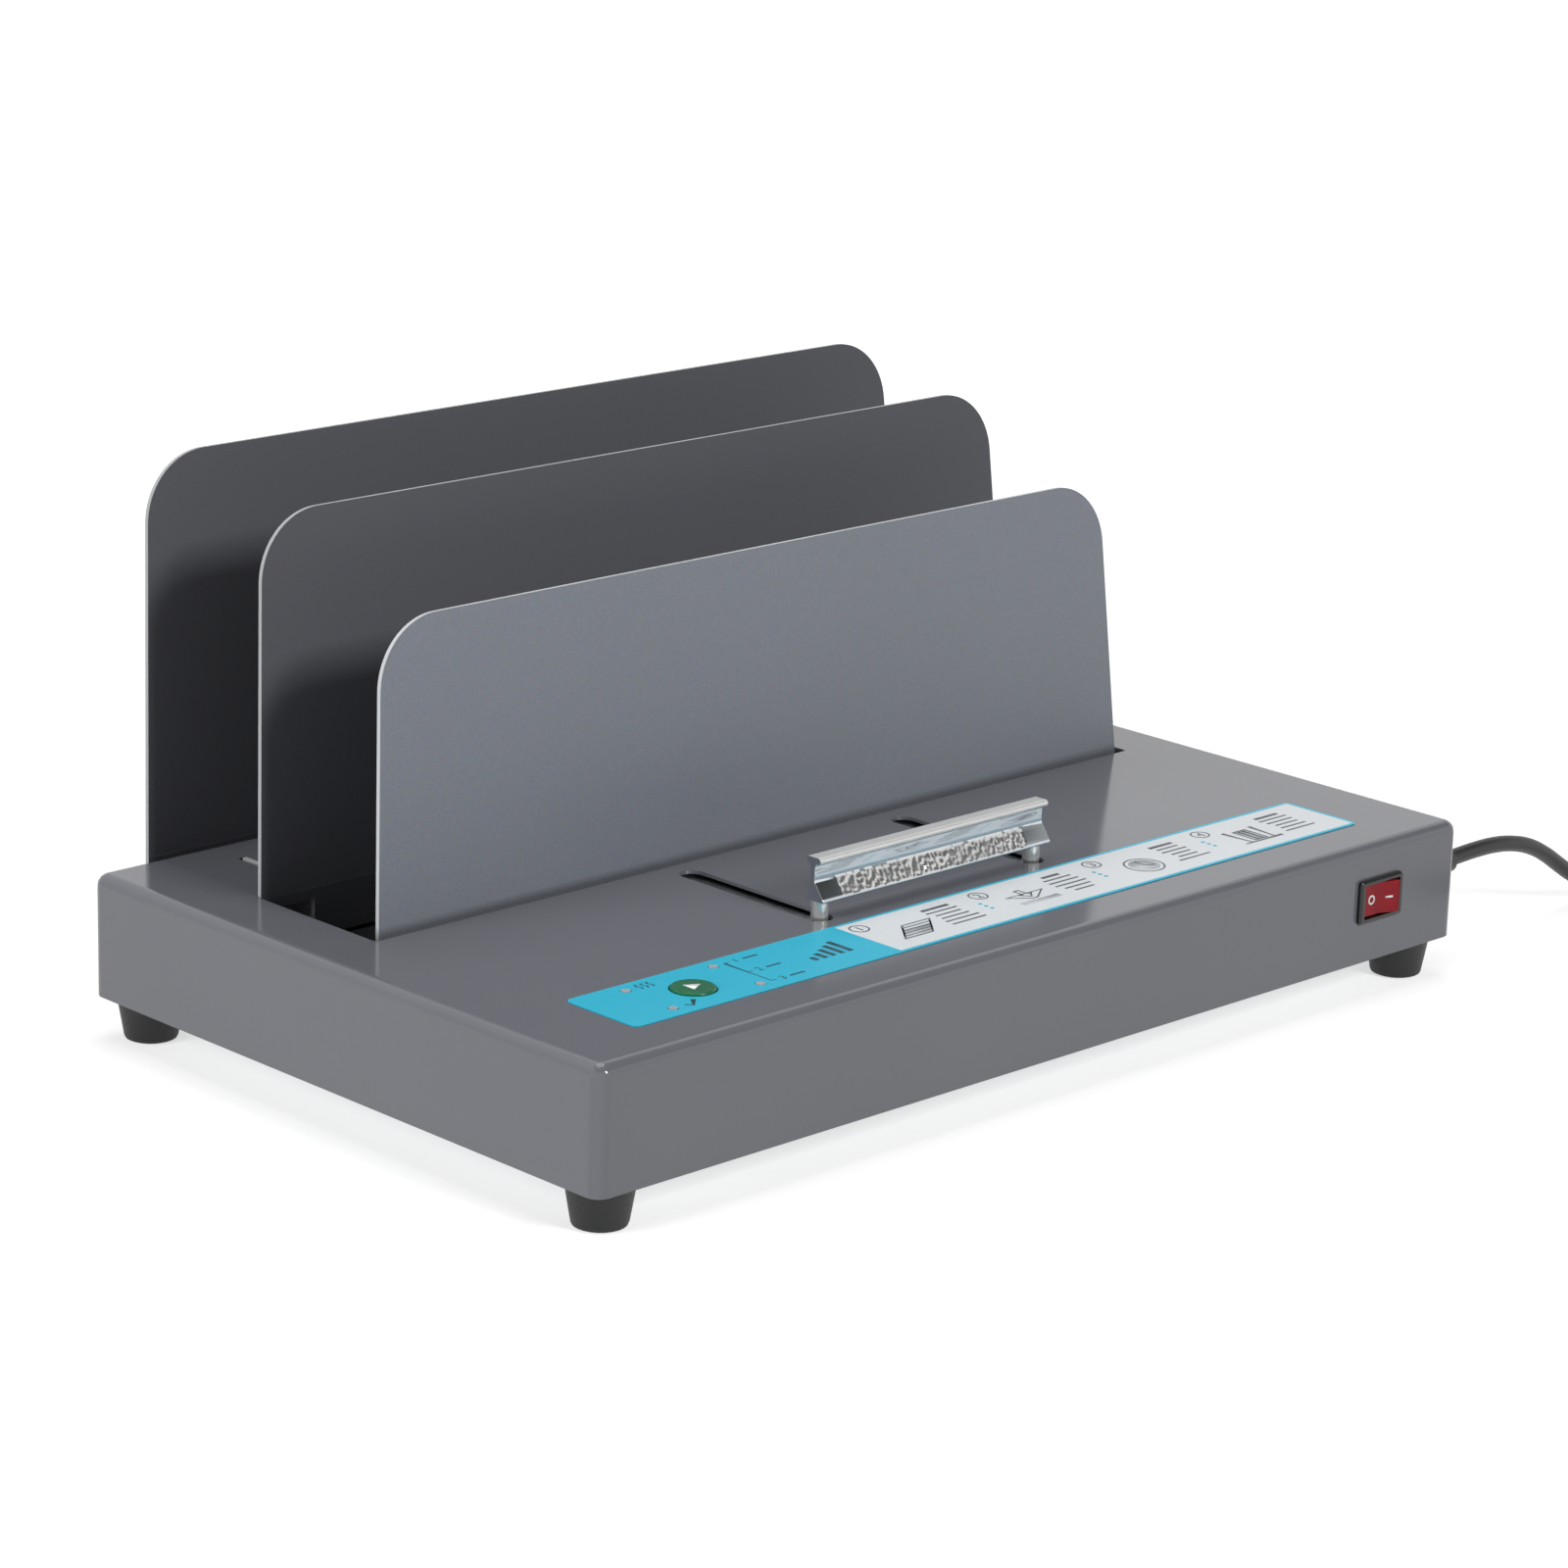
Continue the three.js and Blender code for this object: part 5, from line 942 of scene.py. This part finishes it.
lines, tints, marks = [], [], []
for i, picture in enumerate([pages, cover_on_bar, clock, standing_book]):
    x = FIRST_STEP_X + i * STEP_PITCH
    outlines, fills = picture(x + PICTURE_X, PICTURE_Y)
    for outline in outlines:
        lines += stroke(outline, LINE, closed=len(outline) > OPEN_POINTS)
    tints += fills
    lines += stroke(circle(x + RING_X, TEXT_TOP, RING_RADIUS), RING_LINE, closed=True)
    lines += numeral(str(i + 1), x + RING_X, TEXT_TOP, NUMERAL_HEIGHT)
    for row in range(ROWS):
        height = ROW_HEIGHT if row else TITLE_HEIGHT
        row_y = TEXT_TOP - row * ROW_PITCH
        lines.append(box_outline(x + TEXT_X, row_y, random.uniform(8, 15), height))
    if i:
        for dot in (-1, 0, 1):
            dot_x, dot_y = x - STEP_PITCH / 2 + DOTS_X, DOTS_Y + dot * DOT_PITCH
            marks.append(circle(dot_x, dot_y, DOT_RADIUS, DOT_CORNERS))

lay_ink("step_tints", grey_ink, "machine", film_plane, tints)
lines_plane = film_plane @ Matrix.Translation(mm(0, 0, LINES_LIFT))
lay_ink("step_lines", dark_ink, "machine", lines_plane, lines)
lay_ink("step_dots", blue_ink, "machine", film_plane, marks)
print("outlines on the white part:", len(lines) + len(tints) + len(marks))

# %% [markdown]
# The blue part has the button and four lamps. Beside the left lamps stand the two states, heat and
# ready, as small signs; beside the right ones a scale of three settings with its numerals. A row
# of bars that grow in height fills the space towards the white part.

# %% Signs on the blue part
LEFT_LAMP_X, RIGHT_LAMP_X = -141.8, -106.6
FRONT_LAMP_Y, REAR_LAMP_Y = 24.4, 44.8
THIN_LINE, THICK_LINE = 0.35, 0.7
WAVES, WAVE_PITCH = 3, 2.2
SETTINGS = 3
BARS, BAR_PITCH, BAR_WIDTH = 5, 3.6, 2
FIRST_BAR_X, BARS_FOOT_Y, FIRST_BAR_HEIGHT, BAR_GROWTH = -78, 29.4, 3, 1.9

signs = []
for i in range(WAVES):
    x = LEFT_LAMP_X + 5 + i * WAVE_PITCH
    wave = [(x, 42.8), (x + 0.7, 44.1), (x - 0.2, 45.4), (x + 0.5, 46.8)]
    signs += stroke(through(wave, steps=2), LINE)
tick = [(LEFT_LAMP_X + 4.8, 24.6), (LEFT_LAMP_X + 6.6, 22.8), (LEFT_LAMP_X + 10, 26.6)]
signs += stroke(tick, THICK_LINE)
scale_x = RIGHT_LAMP_X + 4.5
signs += stroke([(scale_x, FRONT_LAMP_Y), (scale_x, REAR_LAMP_Y)], THIN_LINE)
for i in range(SETTINGS):
    y = FRONT_LAMP_Y + (REAR_LAMP_Y - FRONT_LAMP_Y) * i / (SETTINGS - 1)
    signs.append(box_outline(scale_x + 1, y, 2, THIN_LINE))
    signs += numeral(str(SETTINGS - i), scale_x + 4.6, y, 3.2)
    signs.append(box_outline(scale_x + 10.6, y, 6, 0.9))
for i in range(BARS):
    height = FIRST_BAR_HEIGHT + i * BAR_GROWTH
    x, y = FIRST_BAR_X + i * BAR_PITCH, BARS_FOOT_Y + height / 2
    signs.append(box_outline(x, y, BAR_WIDTH, height))
lay_ink("blue_part_signs", deep_blue_ink, "machine", film_plane, signs)

# %% [markdown]
# The button carries a plain white triangle. It is a piece of its own, since it goes down with the
# button. The rocker has the two marks that every such switch has, a ring and a dash, one on each
# half of its face; they ride on the rocker.

# %% Marks on what moves
button_low, button_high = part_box("start_button")
button_middle = (button_low + button_high) / 2
button_plane = Matrix.Translation(Vector((button_middle.x, button_middle.y, button_high.z)))
triangle = [(-2, -2.6), (3, 0), (-2, 2.6)]
lay_ink("button_mark", white_ink, "start_key", button_plane, [triangle])

# The pivot, and from there the left, middle and right corners of the face, seen from above.
ROCKER_PIVOT = Vector((151.4, -121.46, 34.8))
ROCKER_LEFT, ROCKER_RIDGE, ROCKER_RIGHT = (-8.02, -1.814), (-0.316, -1.793), (6.916, -4.448)


def facet_plane(first, last):
    """The middle of one half of the rocker's face, upright, facing out."""
    start, end = (ROCKER_PIVOT + Vector((x, y, 0)) for x, y in (first, last))
    right = (end - start).normalized()
    up = Vector((0, 0, 1))
    columns = Matrix((right, up, right.cross(up))).transposed().to_4x4()
    return Matrix.Translation(mm(*((start + end) / 2))) @ columns


lay_ink(
    "rocker_ring", white_ink, "rocker_body", facet_plane(ROCKER_LEFT, ROCKER_RIDGE),
    stroke(circle(0, 0, 1.35, 20), 0.6, closed=True),
)
lay_ink(
    "rocker_dash", white_ink, "rocker_body", facet_plane(ROCKER_RIDGE, ROCKER_RIGHT),
    [box_outline(0, 0, 2.8, 0.7)],
)

# %% [markdown]
# The table is a plain white floor that catches the machine's shadow. A product photograph has a
# white background, so the floor glows a little for what the camera, mirrors and clear plastic see.
# The glow throws no light on the machine.

# %% The floor
FLOOR_DROP = 0.2  # mm below the feet, so that the two surfaces don't share a plane
FLOOR_HALF = 6.0  # m
GLOW_BY_MACHINE, GLOW_FAR_AWAY = 0.62, 0.97

floor_mesh = bpy.data.meshes.new("floor")
floor_mesh.from_pydata(
    [(-FLOOR_HALF, -FLOOR_HALF, 0), (FLOOR_HALF, -FLOOR_HALF, 0),
     (FLOOR_HALF, FLOOR_HALF, 0), (-FLOOR_HALF, FLOOR_HALF, 0)],
    [], [(0, 1, 2, 3)],
)
floor = bpy.data.objects.new("floor", floor_mesh)
floor.location.z = -mm(FLOOR_DROP)
bpy.context.scene.collection.objects.link(floor)

white_floor, tree, shader, place = start_finish("white_table", roughness=0.9)
shader.inputs["Specular IOR Level"].default_value = 0.0
speck = add(tree, "ShaderNodeTexNoise", {"Vector": place, "Scale": per_metre(40), "Detail": 2.0})
tint = add(
    tree, "ShaderNodeMix",
    {"Factor": speck.outputs["Fac"], 6: linear("#c4c4c4"), 7: linear("#c0c0c0")},
    data_type="RGBA",
)
tree.links.new(tint.outputs[2], shader.inputs["Base Color"])

rays = add(tree, "ShaderNodeLightPath").outputs
direct = add(
    tree, "ShaderNodeMath",
    {0: rays["Is Camera Ray"], 1: rays["Is Glossy Ray"]}, operation="MAXIMUM",
)
seen = add(
    tree, "ShaderNodeMath",
    {0: direct.outputs["Value"], 1: rays["Is Transmission Ray"]}, operation="MAXIMUM",
)

# What lifts the floor to white. It is weaker by the machine, where the shadows stay.
far_away = add(tree, "ShaderNodeVectorMath", {0: place}, operation="LENGTH")
lift = add(
    tree, "ShaderNodeMapRange",
    {"Value": far_away.outputs["Value"], "From Min": 0.4, "From Max": 2.2,
     "To Min": GLOW_BY_MACHINE, "To Max": GLOW_FAR_AWAY},
)
glow = add(
    tree, "ShaderNodeMath",
    {0: seen.outputs["Value"], 1: lift.outputs["Result"]}, operation="MULTIPLY",
)
shader.inputs["Emission Color"].default_value = linear("#ffffff")
tree.links.new(glow.outputs["Value"], shader.inputs["Emission Strength"])
floor.data.materials.append(white_floor)

# %% [markdown]
# The studio round the machine is white up to a little over eye level, and higher behind it. Its
# ceiling is dark. The camera sees only white. Mirrors see both, which is what draws a pale streak
# and a dark line along the bent edges of the body and gives the chrome its contrast. As light, the
# surroundings are faint and even.

# %% The studio
AMBIENT = 0.1
CEILING = 0.06
WHITE_UP_TO, DARK_FROM = math.sin(math.radians(28)), math.sin(math.radians(33))
REAR_RISE = 0.3  # how much higher the white reaches behind, as the sine of its angle

world = bpy.data.worlds.new("studio")
bpy.context.scene.world = world
world.use_nodes = True
tree = world.node_tree
direction = add(tree, "ShaderNodeTexCoord").outputs["Generated"]
towards = add(tree, "ShaderNodeSeparateXYZ", {"Vector": direction}).outputs
raised = add(
    tree, "ShaderNodeMapRange",
    {"Value": towards["Y"], "From Min": -0.05, "From Max": 0.35, "To Min": 0.0, "To Max": REAR_RISE},
)
height = add(
    tree, "ShaderNodeMath",
    {0: towards["Z"], 1: raised.outputs["Result"]}, operation="SUBTRACT",
)
mirrored = add(
    tree, "ShaderNodeMapRange",
    {"Value": height.outputs["Value"], "From Min": WHITE_UP_TO, "From Max": DARK_FROM,
     "To Min": 1.0, "To Max": CEILING},
)
rays = add(tree, "ShaderNodeLightPath").outputs
seen = add(
    tree, "ShaderNodeMath",
    {0: rays["Is Camera Ray"], 1: rays["Is Transmission Ray"]}, operation="MAXIMUM",
)
thrown = add(
    tree, "ShaderNodeMapRange",
    {"Value": rays["Is Glossy Ray"], "To Min": AMBIENT, "To Max": mirrored.outputs["Result"]},
)
strength = add(
    tree, "ShaderNodeMath",
    {0: seen.outputs["Value"], 1: thrown.outputs["Result"]}, operation="MAXIMUM",
)
tree.nodes["Background"].inputs["Color"].default_value = linear("#ffffff")
tree.links.new(strength.outputs["Value"], tree.nodes["Background"].inputs["Strength"])

# %% [markdown]
# Three soft boxes light the machine. The main one stands low in front of it, so that each plate
# throws a soft shadow on the plate behind, up to the height where the photograph shows it. One
# from the left brightens that end, and one overhead lights the top without reaching between the
# plates.

# %% Lamps
def soft_box(name, place, aim, size, power):
    """A square area lamp, places in metres."""
    data = bpy.data.lights.new(name, "AREA")
    data.shape = "SQUARE"
    data.size = size
    data.energy = power
    lamp = bpy.data.objects.new(name, data)
    lamp.location = place
    lamp.rotation_euler = (Vector(aim) - Vector(place)).to_track_quat("-Z", "Y").to_euler()
    bpy.context.scene.collection.objects.link(lamp)
    return lamp


MACHINE = (0, 0, 0.08)  # what the lamps point at, in metres

soft_box("front_box", (0.14, -2.0, 1.22), MACHINE, 0.52, 32)
left_box = soft_box("left_box", (-1.88, 0.2, 0.7), MACHINE, 1.1, 28)
left_box.visible_glossy = False  # or the whole top mirrors it, seen from the right
soft_box("overhead_box", (0.15, 0.3, 2.0), MACHINE, 1.5, 22)

# %% [markdown]
# At the end the colours are shown as they are written, with the standard view transform.

# %% Colour
bpy.context.scene.view_settings.view_transform = "Standard"
